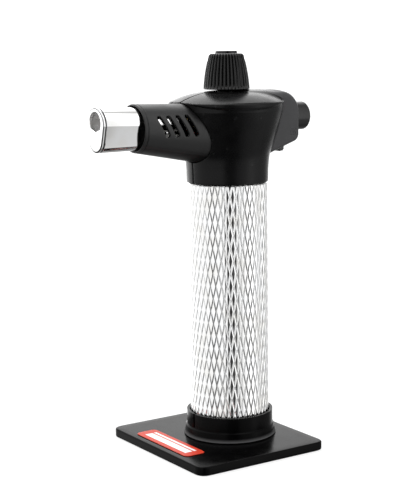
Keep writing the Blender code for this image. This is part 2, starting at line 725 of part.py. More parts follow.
def build_shells(plastic, steel):
    block, removed = head_tools()
    half_gap = GAP / 2
    far = 60.0 * MM
    for side, cut_low, cut_high in (("left", -half_gap, far), ("right", -far, half_gap)):
        shell = place(f"head_shell_{side}", turned(neck_outline(0.0), FINE), plastic)
        other_side = box((-far, far), (cut_low, cut_high), (100.0 * MM, 190.0 * MM))
        other_half = cutter(f"other_half_of_{side}", other_side)
        add(shell, block)
        for tool in removed:
            cut(shell, tool)
        cut(shell, other_half)

    screw_tip = -7.0 * MM
    for number, (x, z, seat) in enumerate(SHELL_SCREWS, start=1):
        under_head = seat + SLIM_GAP
        top = under_head + 1.4 * MM
        section = [
            (0.0, screw_tip), (0.6 * SCREW_SHANK, screw_tip), (SCREW_SHANK, screw_tip + 0.7 * MM),
            (SCREW_SHANK, under_head), (SCREW_HEAD, under_head), (SCREW_HEAD, top - 0.5 * MM),
            (SCREW_HEAD - 0.5 * MM, top), (0.6 * MM, top), (0.0, top - 0.6 * MM),
        ]
        place(f"shell_screw_{number}", turned(section, TINY), steel, (x, 0.0, z), SIDEWAYS)


# ---------------------------------------------------------------- barrel and burner

def build_barrel(plastic):
    outer_x = (BARREL_INNER_END, -30.0 * MM, MOUTH_X + 1.5 * MM, MOUTH_X + 0.3 * MM)
    rings = [barrel_ring(x, 0.0, FINE) for x in outer_x]
    rings.append(barrel_ring(MOUTH_X, -0.25 * MM, FINE))
    rings.append(barrel_ring(MOUTH_X, -0.5 * MM, FINE))
    rings.append(barrel_ring(MOUTH_X + 5.5 * MM, -0.7 * MM, FINE))
    rings.append(barrel_ring(MOUTH_X + 7.0 * MM, -BARREL_WALL, FINE))
    rings.append(barrel_ring(BARREL_INNER_END, -BARREL_WALL, FINE))
    barrel = place("barrel", loft(rings, closed=True), plastic)
    half_length = SLOT_LENGTH / 2
    slot_outline = arc((0.0, half_length - SLOT_WIDTH / 2), SLOT_WIDTH / 2, 0.0, 180.0, 4)
    slot_outline += arc((0.0, SLOT_WIDTH / 2 - half_length), SLOT_WIDTH / 2, 180.0, 360.0, 4)
    for number, x in enumerate(SLOT_X, start=1):
        slot = cutter(
            f"barrel_slot_{number}", prism_along_y(slot_outline, 20.0 * MM),
            (x, 0.0, SLOT_Z), (0.0, -SLOT_SLANT, 0.0),
        )
        cut(barrel, slot)


def teardrop(radius, foot_radius, foot_drop):
    """Outline in (y, z) about the burner axis: half a circle on top, straight sides, a small round foot."""
    reach = math.hypot(radius, foot_drop)
    lean = math.atan2(radius, foot_drop)
    half_foot = 180.0 - math.degrees(lean + math.acos(foot_radius / reach))
    outline = arc((0.0, 0.0), radius, 0.0, 180.0, 16)
    outline += arc((0.0, -foot_drop), foot_radius, 270.0 - half_foot, 270.0 + half_foot, 8)
    return outline


def build_burner(steel, brass, bright_steel, ceramic, cable):
    def ring(x, inset):
        outline = teardrop(FLAME_TUBE_RADIUS - inset, FLAME_TUBE_FOOT_RADIUS - inset, FLAME_TUBE_FOOT_DROP)
        return [(x, y, BURNER_Z + z) for y, z in outline]

    rings = [
        ring(FLAME_TUBE_END, 0.0), ring(FACE_X + 0.9 * MM, 0.0), ring(FACE_X + 0.2 * MM, 0.25 * MM),
        ring(FACE_X, 0.8 * MM),
    ]
    shell = place("flame_tube", loft(rings), bright_steel)
    inner_rings = [ring(x, FLAME_TUBE_WALL) for x in (FACE_X + 1.0 * MM, FLAME_TUBE_END + 5.0 * MM)]
    cut(shell, cutter("flame_tube_inside", loft(inner_rings)))
    flank = FLAME_OPENING_FLANK
    opening = arc((0.0, 0.0), FLAME_OPENING, -flank, 180.0 + flank, 16) + [(0.0, -FLAME_OPENING_APEX)]
    opening_rings = []
    for x in (FACE_X - 2.0 * MM, FACE_X + 3.0 * MM):
        opening_rings.append([(x, y, BURNER_Z + FLAME_OPENING_RISE + z) for y, z in opening])
    cut(shell, cutter("flame_opening", loft(opening_rings)))

    axis = (0.0, 0.0, BURNER_Z)
    place("burner_tube", turned(sleeve(*BURNER_TUBE), MEDIUM), steel, axis, FORWARD)
    holder_shape = turned(rod(HOLDER_RADIUS, HOLDER_START, HOLDER_END, 0.2 * MM), MEDIUM)
    holder = place("flame_holder", holder_shape, steel, axis, FORWARD)
    for number in range(FLAME_PORTS):
        angle = TURN * number / FLAME_PORTS
        spot = (
            0.0, FLAME_PORT_CIRCLE * math.sin(angle), BURNER_Z + FLAME_PORT_CIRCLE * math.cos(angle),
        )
        port = turned(rod(FLAME_PORT_RADIUS, HOLDER_START - 2.0 * MM, HOLDER_END + 2.0 * MM), 6)
        cut(holder, cutter(f"flame_port_{number + 1}", port, spot, FORWARD))

    mixing = place("mixing_tube", turned(sleeve(*MIXING_TUBE), MEDIUM), bright_steel, axis, FORWARD)
    air_port = turned(rod(AIR_PORT_RADIUS, -8.0 * MM, 8.0 * MM), TINY)
    cut(mixing, cutter("air_port", air_port, (AIR_PORT_X, 0.0, BURNER_Z), SIDEWAYS))

    jet_section = [
        (0.35 * MM, 17.3 * MM), (1.7 * MM, 17.3 * MM), (1.7 * MM, 19.6 * MM), (2.4 * MM, 19.6 * MM),
        (2.4 * MM, 22.0 * MM), (1.0 * MM, 23.2 * MM), (0.35 * MM, 23.2 * MM),
    ]
    place("gas_jet", turned(jet_section, SMALL), brass, axis, FORWARD)
    jet_holder_section = [
        (1.3 * MM, 12.0 * MM), (2.4 * MM, 12.0 * MM), (2.4 * MM, 14.4 * MM), (3.6 * MM, 14.4 * MM),
        (3.6 * MM, 19.3 * MM), (2.0 * MM, 19.3 * MM), (2.0 * MM, 17.0 * MM), (1.3 * MM, 17.0 * MM),
    ]
    place("jet_holder", turned(jet_holder_section, SMALL), brass, axis, FORWARD)

    path = smooth_path((
        (-4.9 * MM, 0.0, GAS_OUTLET_Z), (-6.8 * MM, 0.0, GAS_OUTLET_Z), (-8.4 * MM, 0.0, 145.4 * MM),
        (-9.2 * MM, 0.0, 148.0 * MM), (-10.6 * MM, 0.0, BURNER_Z), (-12.8 * MM, 0.0, BURNER_Z),
    ), 2)
    place("gas_tube", pipe(path, 0.95 * MM, 8, 0.5 * MM), brass)

    place(
        "electrode_insulator", turned(sleeve(0.75 * MM, 2.0 * MM, 24.0 * MM, 52.0 * MM), SMALL),
        ceramic, (0.0, 0.0, ELECTRODE_Z), FORWARD,
    )
    tip_path = smooth_path((
        (-25.0 * MM, 0.0, ELECTRODE_Z), (-40.0 * MM, 0.0, ELECTRODE_Z), (-55.0 * MM, 0.0, ELECTRODE_Z),
        (-60.5 * MM, 0.0, ELECTRODE_Z + 0.2 * MM), (-62.3 * MM, 0.0, ELECTRODE_Z + 1.2 * MM),
    ), 4)
    place("ignition_electrode", pipe(tip_path, 0.45 * MM, 8), steel)
    wire_path = smooth_path((
        (13.0 * MM, 5.4 * MM, 150.0 * MM), (8.0 * MM, 8.0 * MM, 150.0 * MM), (0.0, 9.0 * MM, 149.0 * MM),
        (-8.0 * MM, 8.0 * MM, 146.5 * MM), (-14.0 * MM, 5.0 * MM, 142.5 * MM),
        (-19.0 * MM, 1.0 * MM, ELECTRODE_Z), (-23.6 * MM, 0.0, ELECTRODE_Z),
    ), 4)
    place("ignition_wire", pipe(wire_path, 0.7 * MM, 8), cable)


# ---------------------------------------------------------------- piezo igniter

def build_igniter(plastic, housing_plastic, steel, button_pivot):
    half = PIEZO_HALF
    bore = PIEZO_HALF - PIEZO_WALL
    chamber_front = PIEZO_FRONT + 1.5 * MM
    housing = place("piezo_housing", box(
        (PIEZO_FRONT, PIEZO_REAR), (-half, half), (BUTTON_Z - half, BUTTON_Z + half),
    ), housing_plastic)
    chamber = cutter("piezo_chamber", box(
        (chamber_front, PIEZO_REAR + 2.0 * MM), (-bore, bore), (BUTTON_Z - bore, BUTTON_Z + bore),
    ))
    cut(housing, chamber)

    cap_wall = 1.2 * MM
    cap_inside = BUTTON_END - 2.6 * MM
    push = PLUNGER_HALF
    place("piezo_plunger", box(
        (PLUNGER_FRONT, cap_inside - GAP), (-push, push), (BUTTON_Z - push, BUTTON_Z + push),
    ), housing_plastic, parent=button_pivot)

    wire = 0.3 * MM
    spring_path = coil(2.2 * MM, chamber_front + wire + SLIM_GAP, PLUNGER_FRONT - wire - SLIM_GAP, 4.0)
    place("piezo_spring", pipe(spring_path, wire, 5), steel, (0.0, 0.0, BUTTON_Z), BACKWARD)

    button_section = [
        (BUTTON_RADIUS - cap_wall, BUTTON_INNER_END), (BUTTON_RADIUS, BUTTON_INNER_END),
        (BUTTON_RADIUS, BUTTON_END - 2.0 * MM), (BUTTON_RADIUS - 0.3 * MM, BUTTON_END - 1.0 * MM),
        (BUTTON_RADIUS - 1.0 * MM, BUTTON_END - 0.3 * MM), (BUTTON_RADIUS - 2.2 * MM, BUTTON_END),
        (0.0, BUTTON_END + 0.3 * MM), (0.0, cap_inside), (BUTTON_RADIUS - cap_wall, cap_inside),
    ]
    button = turned(closed_end(button_section), MEDIUM)
    place("ignition_button", button, plastic, (0.0, 0.0, BUTTON_Z), BACKWARD, button_pivot)


def closed_end(section):
    """Reorder a cup's half-section so that it starts and ends on the axis."""
    on_axis = [index for index, (radius, height) in enumerate(section) if radius == 0.0]
    start = on_axis[-1]
    return section[start:] + section[:start]


def main():
    clear_scene()
    stand_plastic = material("stand_plastic", (0.018, 0.018, 0.018), 0.35)
    head_plastic = material("head_plastic", (0.016, 0.016, 0.017), 0.38)
    barrel_plastic = material("barrel_plastic", (0.014, 0.014, 0.015), 0.5)
    knob_plastic = material("knob_plastic", (0.015, 0.015, 0.015), 0.45)
    tank_nylon = material("tank_nylon", (0.75, 0.75, 0.72), 0.45)
    piezo_plastic = material("piezo_plastic", (0.03, 0.03, 0.035), 0.5)
    aluminium = material("aluminium", (0.86, 0.87, 0.88), 0.18, 1.0)
    chrome = material("chrome", (0.82, 0.83, 0.85), 0.08, 1.0)
    steel = material("steel", (0.5, 0.5, 0.51), 0.3, 1.0)
    brass = material("brass", (0.72, 0.55, 0.25), 0.28, 1.0)
    rubber = material("rubber", (0.02, 0.02, 0.02), 0.8)
    felt = material("felt", (0.8, 0.78, 0.7), 0.95)
    ceramic = material("ceramic", (0.85, 0.84, 0.8), 0.3)
    cable = material("cable", (0.5, 0.03, 0.02), 0.5)
    label_red = material("label_red", (0.6, 0.02, 0.02), 0.35)

    stem_pivot = pivot("fill_stem_axis", (0.0, 0.0, 12.5 * MM))
    needle_pivot = pivot("needle_axis", (0.0, 0.0, NEEDLE_SEAT_Z))
    knob_pivot = pivot("knob_axis", (0.0, 0.0, KNOB_BOTTOM))
    lever_pivot = pivot("lever_axis", (0.0, 0.0, LEVER_Z))
    button_pivot = pivot("button_axis", (BLOCK_REAR, 0.0, BUTTON_Z))

    build_stand(stand_plastic, steel, label_red)
    build_handle(aluminium, tank_nylon, brass, rubber, steel, felt, stem_pivot)
    build_gas_valve(brass, rubber, steel, knob_plastic, needle_pivot, knob_pivot, lever_pivot)
    build_shells(head_plastic, steel)
    build_barrel(barrel_plastic)
    build_burner(steel, brass, chrome, ceramic, cable)
    build_igniter(knob_plastic, piezo_plastic, steel, button_pivot)


main()
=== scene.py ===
"""Looks of the table-top butane torch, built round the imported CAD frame.

Metres, +Z up, in the CAD's frame: the barrel points along -X, the ignition button is at +X and the head
parts at y = 0. Moulded shapes are distance fields, meshed by surface_net(). The others are turned or lofted.
"""
import json
from math import acos, atan2, copysign, cos, hypot, pi, radians, sin, tan

import bmesh
import bpy
import numpy as np
from mathutils import Matrix, Vector


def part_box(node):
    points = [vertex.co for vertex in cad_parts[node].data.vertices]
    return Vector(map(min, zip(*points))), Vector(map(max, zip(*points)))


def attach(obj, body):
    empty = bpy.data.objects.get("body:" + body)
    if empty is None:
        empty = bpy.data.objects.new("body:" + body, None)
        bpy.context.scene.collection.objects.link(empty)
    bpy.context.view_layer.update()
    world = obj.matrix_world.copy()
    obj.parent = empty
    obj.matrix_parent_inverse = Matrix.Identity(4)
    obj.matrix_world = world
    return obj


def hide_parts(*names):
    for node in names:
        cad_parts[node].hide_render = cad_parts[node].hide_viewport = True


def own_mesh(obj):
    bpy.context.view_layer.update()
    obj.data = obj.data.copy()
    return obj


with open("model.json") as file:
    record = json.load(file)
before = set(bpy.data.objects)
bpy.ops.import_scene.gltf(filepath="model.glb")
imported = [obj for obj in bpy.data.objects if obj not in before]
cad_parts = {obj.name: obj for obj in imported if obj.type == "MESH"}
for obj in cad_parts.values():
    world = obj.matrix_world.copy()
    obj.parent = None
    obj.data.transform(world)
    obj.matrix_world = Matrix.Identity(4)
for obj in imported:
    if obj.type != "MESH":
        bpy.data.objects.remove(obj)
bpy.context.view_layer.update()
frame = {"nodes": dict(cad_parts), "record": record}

MM = 0.001
TURN = 2 * pi
MERGE = 1e-7


def mm(*values):
    """Millimetres as metres."""
    return tuple(value * MM for value in values)


def middle_of(node):
    """Middle of a CAD node's box."""
    low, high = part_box(node)
    return (low + high) / 2


def level_of(node):
    """Height of a CAD node's middle."""
    low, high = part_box(node)
    return (low.z + high.z) / 2


# ---- sizes that several pieces share

collar_low, collar_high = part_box("stand_collar")
grip_low, grip_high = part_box("grip_sleeve")
head_low, head_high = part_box("head_shell_left")
tube_low, tube_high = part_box("flame_tube")
label_low, label_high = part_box("stand_label")

GRIP_RADIUS = grip_high.x
BURNER_Z = level_of("burner_tube")
BUTTON_Z = level_of("ignition_button")
NUMBERS = (1, 2, 3)


# ---- mesh helpers

def new_object(name, data):
    made = bpy.data.objects.new(name, data)
    bpy.context.scene.collection.objects.link(made)
    return made


def add_object(name, shape, look, node, body="torch", sharp=35.0):
    """Finish a piece from a bmesh or a mesh: shading, material, its CAD node and the body it rides on."""
    mesh = shape if isinstance(shape, bpy.types.Mesh) else mesh_of(name, shape)
    if sharp:
        mesh.shade_smooth()
        mesh.set_sharp_from_angle(angle=radians(sharp))
    made = new_object(name, mesh)
    mesh.materials.append(LOOKS[look])
    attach(made, body)
    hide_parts(node)
    return made


def mesh_of(name, shape):
    """Merge a bmesh's doubles, turn its faces outwards and make it a mesh."""
    bmesh.ops.remove_doubles(shape, verts=shape.verts, dist=MERGE)
    bmesh.ops.recalc_face_normals(shape, faces=shape.faces)
    mesh = bpy.data.meshes.new(name)
    shape.to_mesh(mesh)
    shape.free()
    return mesh


def mark(mesh, name, values):
    """Store one number per vertex for a material to read."""
    mesh.attributes.new(name, "FLOAT", "POINT").data.foreach_set("value", values)


def rounded(points, radius, closed=False, steps=4):
    """Replace the corners of a polyline by short curves; radius is one number or one per point."""
    straight = radians(88.0)
    longest_reach = 0.48
    count = len(points)
    radii = radius if isinstance(radius, (list, tuple)) else [radius] * count
    path = []
    for index, point in enumerate(points):
        if radii[index] == 0 or (not closed and index in (0, count - 1)):
            path.append(tuple(point))
            continue
        here = Vector(point)
        before = Vector(points[index - 1]) - here
        after = Vector(points[(index + 1) % count]) - here
        half = before.angle(after) / 2
        if half > straight:
            path.append(tuple(point))
            continue
        reach = min(radii[index] / tan(half), longest_reach * before.length, longest_reach * after.length)
        first = here + before.normalized() * reach
        last = here + after.normalized() * reach
        for step in range(steps + 1):
            t = step / steps
            spot = first * (1 - t) ** 2 + here * 2 * t * (1 - t) + last * t ** 2
            path.append(tuple(spot))
    return path


def loft(rings, closed=False, caps=True):
    """Join rings of equally many points, as a bmesh."""
    shape = bmesh.new()
    rows = [[shape.verts.new(point) for point in ring] for ring in rings]
    count = len(rows[0])
    pairs = list(zip(rows, rows[1:]))
    if closed:
        pairs.append((rows[-1], rows[0]))
    for lower, upper in pairs:
        for index in range(count):
            after = (index + 1) % count
            shape.faces.new((lower[index], lower[after], upper[after], upper[index]))
    if caps and not closed:
        shape.faces.new(rows[0])
        shape.faces.new(rows[-1])
    return shape


def revolve(section, segments, ring=False):
    """Turn (radius, height) points round Z; ring closes a section that stays off the axis."""
    rings = []
    for radius, height in section:
        rings.append([
            (radius * cos(TURN * k / segments), radius * sin(TURN * k / segments), height)
            for k in range(segments)
        ])
    shape = loft(rings, closed=ring, caps=False)
    bmesh.ops.remove_doubles(shape, verts=shape.verts, dist=MERGE)
    return shape


def lay(shape, direction, centre=(0, 0, 0)):
    """Turn a shape made along +Z onto another direction, then move it."""
    turn = Vector((0, 0, 1)).rotation_difference(Vector(direction)).to_matrix().to_4x4()
    bmesh.ops.transform(shape, matrix=Matrix.Translation(centre) @ turn, verts=shape.verts)
    return shape


def drill(radius, low, high, direction=(0, 0, 1), centre=(0, 0, 0), segments=24):
    """A round cutter between two heights along a direction."""
    return lay(revolve([(0, low), (radius, low), (radius, high), (0, high)], segments), direction, centre)


def tube_section(inner, outer, start, end, edge):
    """Section of a plain tube with rounded edges."""
    return rounded([(inner, start), (outer, start), (outer, end), (inner, end)], edge, closed=True)


def slab(low, high, corner, corner_steps, edge, edge_steps, lip):
    """A flat piece with round corners in plan and round edges. Its flat faces start a lip inside."""
    middle, half = (low + high) / 2, (high - low) / 2
    outline = [(half.x, half.y), (-half.x, half.y), (-half.x, -half.y), (half.x, -half.y)]
    outline = rounded(outline, corner, closed=True, steps=corner_steps)
    levels = rounded([(lip, low.z), (0, low.z), (0, high.z), (lip, high.z)], edge, steps=edge_steps)
    rings = []
    for inset, height in levels:
        grow_x, grow_y = 1 - inset / half.x, 1 - inset / half.y
        rings.append([(middle.x + x * grow_x, middle.y + y * grow_y, height) for x, y in outline])
    return loft(rings)


def pipe(points, radius, segments):
    """A round wire along a path of points."""
    path = [Vector(point) for point in points]
    side = (path[1] - path[0]).orthogonal().normalized()
    rings = []
    for index, point in enumerate(path):
        tangent = (path[min(index + 1, len(path) - 1)] - path[max(index - 1, 0)]).normalized()
        side = (side - tangent * side.dot(tangent)).normalized()
        other = tangent.cross(side)
        rings.append([
            point + (side * cos(TURN * k / segments) + other * sin(TURN * k / segments)) * radius
            for k in range(segments)
        ])
    return loft(rings)


def block(low, high):
    """A plain cutter block, as a bmesh."""
    shape = bmesh.new()
    bmesh.ops.create_cube(shape, size=1.0)
    low, high = Vector(low), Vector(high)
    bmesh.ops.scale(shape, verts=shape.verts, vec=high - low)
    bmesh.ops.translate(shape, verts=shape.verts, vec=(high + low) / 2)
    return shape


def carve(mesh, cutters, operation="DIFFERENCE"):
    """Apply Booleans to a mesh and return the finished mesh."""
    target = new_object("carved", mesh)
    tools = []
    for cutter in cutters:
        tool = new_object("carver", mesh_of("carver", cutter))
        change = target.modifiers.new("carve", "BOOLEAN")
        change.operation = operation
        change.solver = "EXACT"
        change.object = tool
        tools.append(tool)
    graph = bpy.context.evaluated_depsgraph_get()
    made = bpy.data.meshes.new_from_object(target.evaluated_get(graph))
    for old in [target] + tools:
        bpy.data.objects.remove(old)
    made.name = mesh.name
    return made


# ---- distance fields

def round_max(a, b, radius):
    """Intersection of two fields with a rounded edge."""
    corner = np.hypot(np.maximum(a + radius, 0), np.maximum(b + radius, 0))
    return np.minimum(np.maximum(a, b), -radius) + corner


def round_min(a, b, radius):
    """Union of two fields with a fillet."""
    return -round_max(-a, -b, radius)


def smooth_step(value, low, high):
    """0 below low, 1 above high and an S-curve between them."""
    t = np.clip((value - low) / (high - low), 0, 1)
    return t * t * (3 - 2 * t)


def surface_net(field, wrap=False):
    """Quads where a field sampled on three axes crosses zero, negative inside. With wrap, axis 1 closes
    on itself. Returns vertices in index units and the faces."""
    turns = field.shape[1]
    if wrap:
        field = np.concatenate([field, field[:, :1]], axis=1)
    inside = field < 0
    count = np.zeros([n - 1 for n in field.shape], np.int8)
    corners = [(a, b, c) for a in (0, 1) for b in (0, 1) for c in (0, 1)]
    for a, b, c in corners:
        count += inside[
            a:a + count.shape[0], b:b + count.shape[1], c:c + count.shape[2]
        ]
    cells = np.argwhere((count > 0) & (count < 8))
    index = -np.ones(count.shape, np.int64)
    index[tuple(cells.T)] = np.arange(len(cells))
    total = np.zeros((len(cells), 3))
    hits = np.zeros((len(cells), 1))
    for start in corners:
        for axis in range(3):
            if start[axis]:
                continue
            end = list(start)
            end[axis] = 1
            first = field[tuple((cells + start).T)]
            last = field[tuple((cells + end).T)]
            crossed = (first < 0) != (last < 0)
            share = np.where(crossed, first / np.where(crossed, first - last, 1), 0)
            spot = np.tile(np.array(start, float), (len(cells), 1))
            spot[:, axis] = share
            total += spot * crossed[:, None]
            hits += crossed[:, None]
    vertices = cells + total / hits
    faces = []
    for axis in range(3):
        other, third = [(1, 2), (2, 0), (0, 1)][axis]
        lower = np.take(inside, range(field.shape[axis] - 1), axis)
        upper = np.take(inside, range(1, field.shape[axis]), axis)
        edges = np.argwhere(lower != upper)
        keep = np.ones(len(edges), bool)
        for side in (other, third):
            if wrap and side == 1:
                keep &= edges[:, 1] < turns
            else:
                keep &= (edges[:, side] > 0) & (edges[:, side] < field.shape[side] - 1)
        edges = edges[keep]
        quad = []
        for shift_other, shift_third in ((-1, -1), (0, -1), (0, 0), (-1, 0)):
            cell = edges.copy()
            cell[:, other] += shift_other
            cell[:, third] += shift_third
            if wrap:
                cell[:, 1] %= turns
            quad.append(index[tuple(cell.T)])
        quad = np.stack(quad, 1)
        outward = lower[tuple(edges.T)]
        quad[~outward] = quad[~outward][:, ::-1]
        faces.append(quad)
    return vertices, np.concatenate(faces)


def field_mesh(name, field, xs, ys, zs, polish=2):
    """Mesh a field function on a box grid, with its vertices and normals set to the true surface."""
    step = 0.05 * MM
    longest_move = 0.25 * MM
    least_slope = 0.25
    tiny = 1e-12
    grid = np.meshgrid(xs, ys, zs, indexing="ij")
    spots, faces = surface_net(field(*grid))
    points = np.stack([
        np.interp(spots[:, axis], np.arange(len(values)), values) for axis, values in enumerate((xs, ys, zs))
    ], 1)

    def slope(at):
        rises = []
        for axis in range(3):
            shift = np.zeros(3)
            shift[axis] = step
            rises.append((field(*(at + shift).T) - field(*(at - shift).T)) / (2 * step))
        return np.stack(rises, 1)

    for _ in range(polish):
        rise = slope(points)
        size = np.maximum((rise ** 2).sum(1), least_slope)
        move = -field(*points.T)[:, None] * rise / size[:, None]
        length = np.maximum(np.linalg.norm(move, axis=1, keepdims=True), tiny)
        points += move * np.minimum(1, longest_move / length)
    mesh = bpy.data.meshes.new(name)
    mesh.from_pydata(points.tolist(), [], faces.tolist())
    mesh.update()
    mesh.shade_smooth()
    normals = slope(points)
    normals /= np.maximum(np.linalg.norm(normals, axis=1, keepdims=True), tiny)
    mesh.normals_split_custom_set_from_vertices(normals.tolist())
    return mesh


# ---- materials

def feed(tree, node, inputs):
    """Set a node's inputs, by name or number, to other nodes' outputs, numbers, vectors or RGB triples."""
    for key, value in inputs.items():
        socket = node.inputs[key]
        if isinstance(value, bpy.types.NodeSocket):
            tree.links.new(value, socket)
        elif socket.type == "RGBA":
            socket.default_value = (*value, 1.0)
        else:
            socket.default_value = value


def add_node(tree, kind, inputs=None, **settings):
    node = tree.nodes.new("ShaderNode" + kind)
    for setting, value in settings.items():
        setattr(node, setting, value)
    feed(tree, node, inputs or {})
    return node


def material_of(name):
    """A new material with its tree and its Principled shader; name is also the slot it stands for."""
    made = bpy.data.materials.new(name)
    made.use_nodes = True
    made["slot"] = name
    return made, made.node_tree, made.node_tree.nodes["Principled BSDF"]


def noise(tree, scale, detail=4.0, stretch=(1, 1, 1), seed=0.0):
    """Noise in the piece's own coordinates, which follow it when it moves."""
    spot = add_node(tree, "TexCoord").outputs["Object"]
    shift = {"Vector": spot, "Location": (seed, seed * 0.7, -seed), "Scale": stretch}
    place = add_node(tree, "Mapping", shift).outputs["Vector"]
    return add_node(tree, "TexNoise", {"Vector": place, "Scale": scale, "Detail": detail}).outputs["Fac"]


def spread(tree, value, low, high, out_low=0.0, out_high=1.0):
    """Map a value's range onto another."""
    ends = {"From Min": low, "From Max": high, "To Min": out_low, "To Max": out_high}
    return add_node(tree, "MapRange", {"Value": value, **ends}).outputs["Result"]


def maths(tree, operation, first, second):
    return add_node(tree, "Math", {0: first, 1: second}, operation=operation).outputs[0]


def blend_colours(tree, share, first, second):
    """Mix two colours, each a socket or an RGB triple, by a share."""
    mix = {"Factor": share, "A": first, "B": second}
    return add_node(tree, "Mix", mix, data_type="RGBA").outputs["Result"]


def bump(tree, height, distance):
    return add_node(tree, "Bump", {"Height": height, "Distance": distance}).outputs["Normal"]


def edge_share(tree, low, high):
    """0 on flat skin, 1 on worn convex edges."""
    return spread(tree, add_node(tree, "NewGeometry").outputs["Pointiness"], low, high)


def attribute(tree, name):
    """What mark() stored on the mesh."""
    return add_node(tree, "Attribute", attribute_name=name).outputs["Fac"]


def tint(colour, share, lift=0.0):
    """A colour made darker or paler."""
    return tuple(min(1.0, channel * share + lift) for channel in colour)


def plastic(name, colour, roughness, grain_scale, grain_depth, wear=0.5, specular=0.5, matt=None):
    """Moulded plastic: spark-eroded grain, faint handling marks, edges rubbed a little smoother and paler.
    Its last argument is painted sheen: a paler, duller colour for the parts of the mesh that mark() set to 1
    for it."""
    smudge, rub_gloss, sheen_roughening = 0.05, 0.1, 0.12
    made, tree, shader = material_of(name)
    marks = noise(tree, 160.0, 5.0, seed=3.1)
    rub = maths(tree, "MULTIPLY", edge_share(tree, 0.52, 0.60), wear)
    cloudy = blend_colours(tree, spread(tree, marks, 0.35, 0.7), tint(colour, 0.85), tint(colour, 1.2))
    tone = blend_colours(tree, rub, cloudy, tint(colour, 1.9, 0.012))
    rough = spread(tree, marks, 0.3, 0.7, roughness - smudge, roughness + smudge)
    rough = maths(tree, "SUBTRACT", rough, maths(tree, "MULTIPLY", rub, rub_gloss))
    # Painted sheen: a paler colour where the mesh is marked for it, and a little more roughness there.
    if matt:
        painted_sheen_mask = attribute(tree, "matt")
        tone = blend_colours(tree, painted_sheen_mask, tone, matt)
        rough = maths(tree, "ADD", rough, maths(tree, "MULTIPLY", painted_sheen_mask, sheen_roughening))
    feed(tree, shader, {
        "Base Color": tone, "Roughness": rough, "Specular IOR Level": specular,
        "Normal": bump(tree, noise(tree, grain_scale, 3.0), grain_depth),
    })
    return made


def metal(name, colour, roughness, stretch, line_scale, line_depth, smudge=0.04, tarnish=0.12, grooves=None,
          shadow=0.55):
    """Metal: fine tool lines along the stretched direction, smudges, slight tarnish in patches, and painted
    shade in the hollows, which in the knurl's grooves also stands for dirt. With grooves, the hollows are
    where the mesh says so, and it is how far they go to the painted shade tone."""
    plain_darkness, hollow_dullness, line_dullness = 0.5, 0.15, 0.02
    tarnish_tint = (1.0, 0.985, 0.95)
    made, tree, shader = material_of(name)
    lines = noise(tree, line_scale, 3.0, stretch)
    marks = noise(tree, 120.0, 5.0, seed=7.7)
    dull = tuple(channel * (1.0 - tarnish) * share for channel, share in zip(colour, tarnish_tint))
    tone = blend_colours(tree, spread(tree, marks, 0.42, 0.72), colour, dull)
    if grooves is None:
        hollow = edge_share(tree, 0.49, 0.44)
        darkness = plain_darkness
    else:
        hollow = spread(tree, attribute(tree, "shade_and_dirt"), 0.15, 1.0, 0.0, 1.3)
        darkness = grooves
    rough = spread(tree, marks, 0.3, 0.7, roughness - smudge, roughness + smudge)
    rough = maths(tree, "ADD", rough, spread(tree, lines, 0.3, 0.7, -line_dullness, line_dullness))
    rough = maths(tree, "ADD", rough, maths(tree, "MULTIPLY", hollow, hollow_dullness))
    # Painted shade: the hollows go towards a darker tone of the metal.
    tone = blend_colours(tree, maths(tree, "MULTIPLY", hollow, darkness), tone, tint(colour, shadow))
    normal = bump(tree, lines, line_depth)
    feed(tree, shader, {"Base Color": tone, "Roughness": rough, "Metallic": 1.0, "Normal": normal})
    return made


def label_film():
    """Red printed film with two plain white bars, in place of any mark."""
    margin = 4.5 * MM
    bars = (mm(-0.9, 1.9), mm(2.5, 0.7))  # centre and half width
    made, tree, shader = material_of("label_red")
    spot = add_node(tree, "TexCoord").outputs["Object"]
    parts = add_node(tree, "SeparateXYZ", {"Vector": spot}).outputs
    middle = (label_low + label_high) / 2
    half = (label_high - label_low) / 2

    def within(value, centre, reach):
        away = maths(tree, "ABSOLUTE", maths(tree, "SUBTRACT", value, centre), 0.0)
        return maths(tree, "LESS_THAN", away, reach)

    white = maths(tree, "MAXIMUM", *(within(parts["X"], middle.x + centre, reach) for centre, reach in bars))
    printed = maths(tree, "MULTIPLY", white, within(parts["Y"], middle.y, half.y - margin))
    mottle = noise(tree, 900.0, 3.0)
    red = blend_colours(tree, mottle, (0.56, 0.032, 0.011), (0.66, 0.05, 0.018))
    feed(tree, shader, {
        "Base Color": blend_colours(tree, printed, red, (0.86, 0.85, 0.84)),
        "Roughness": spread(tree, mottle, 0.3, 0.7, 0.35, 0.5), "Specular IOR Level": 0.12,
        "Normal": bump(tree, noise(tree, 2200.0, 2.0), 4e-6),
    })
    return made


def fibrous(name, colour):
    """Felt or braid."""
    made, tree, shader = material_of(name)
    strands = noise(tree, 1500.0, 6.0, (1, 1, 0.2))
    feed(tree, shader, {
        "Base Color": blend_colours(tree, strands, tint(colour, 0.7), colour), "Roughness": 0.95,
        "Normal": bump(tree, strands, 1.5e-4),
    })
    return made


BLACK = (0.004, 0.004, 0.0042)
DEEP_BLACK = (0.002, 0.002, 0.0021)
ALONG_X, ALONG_Z, ALONG_GRIP = (0.08, 1, 1), (1, 1, 0.1), (1, 1, 0.05)
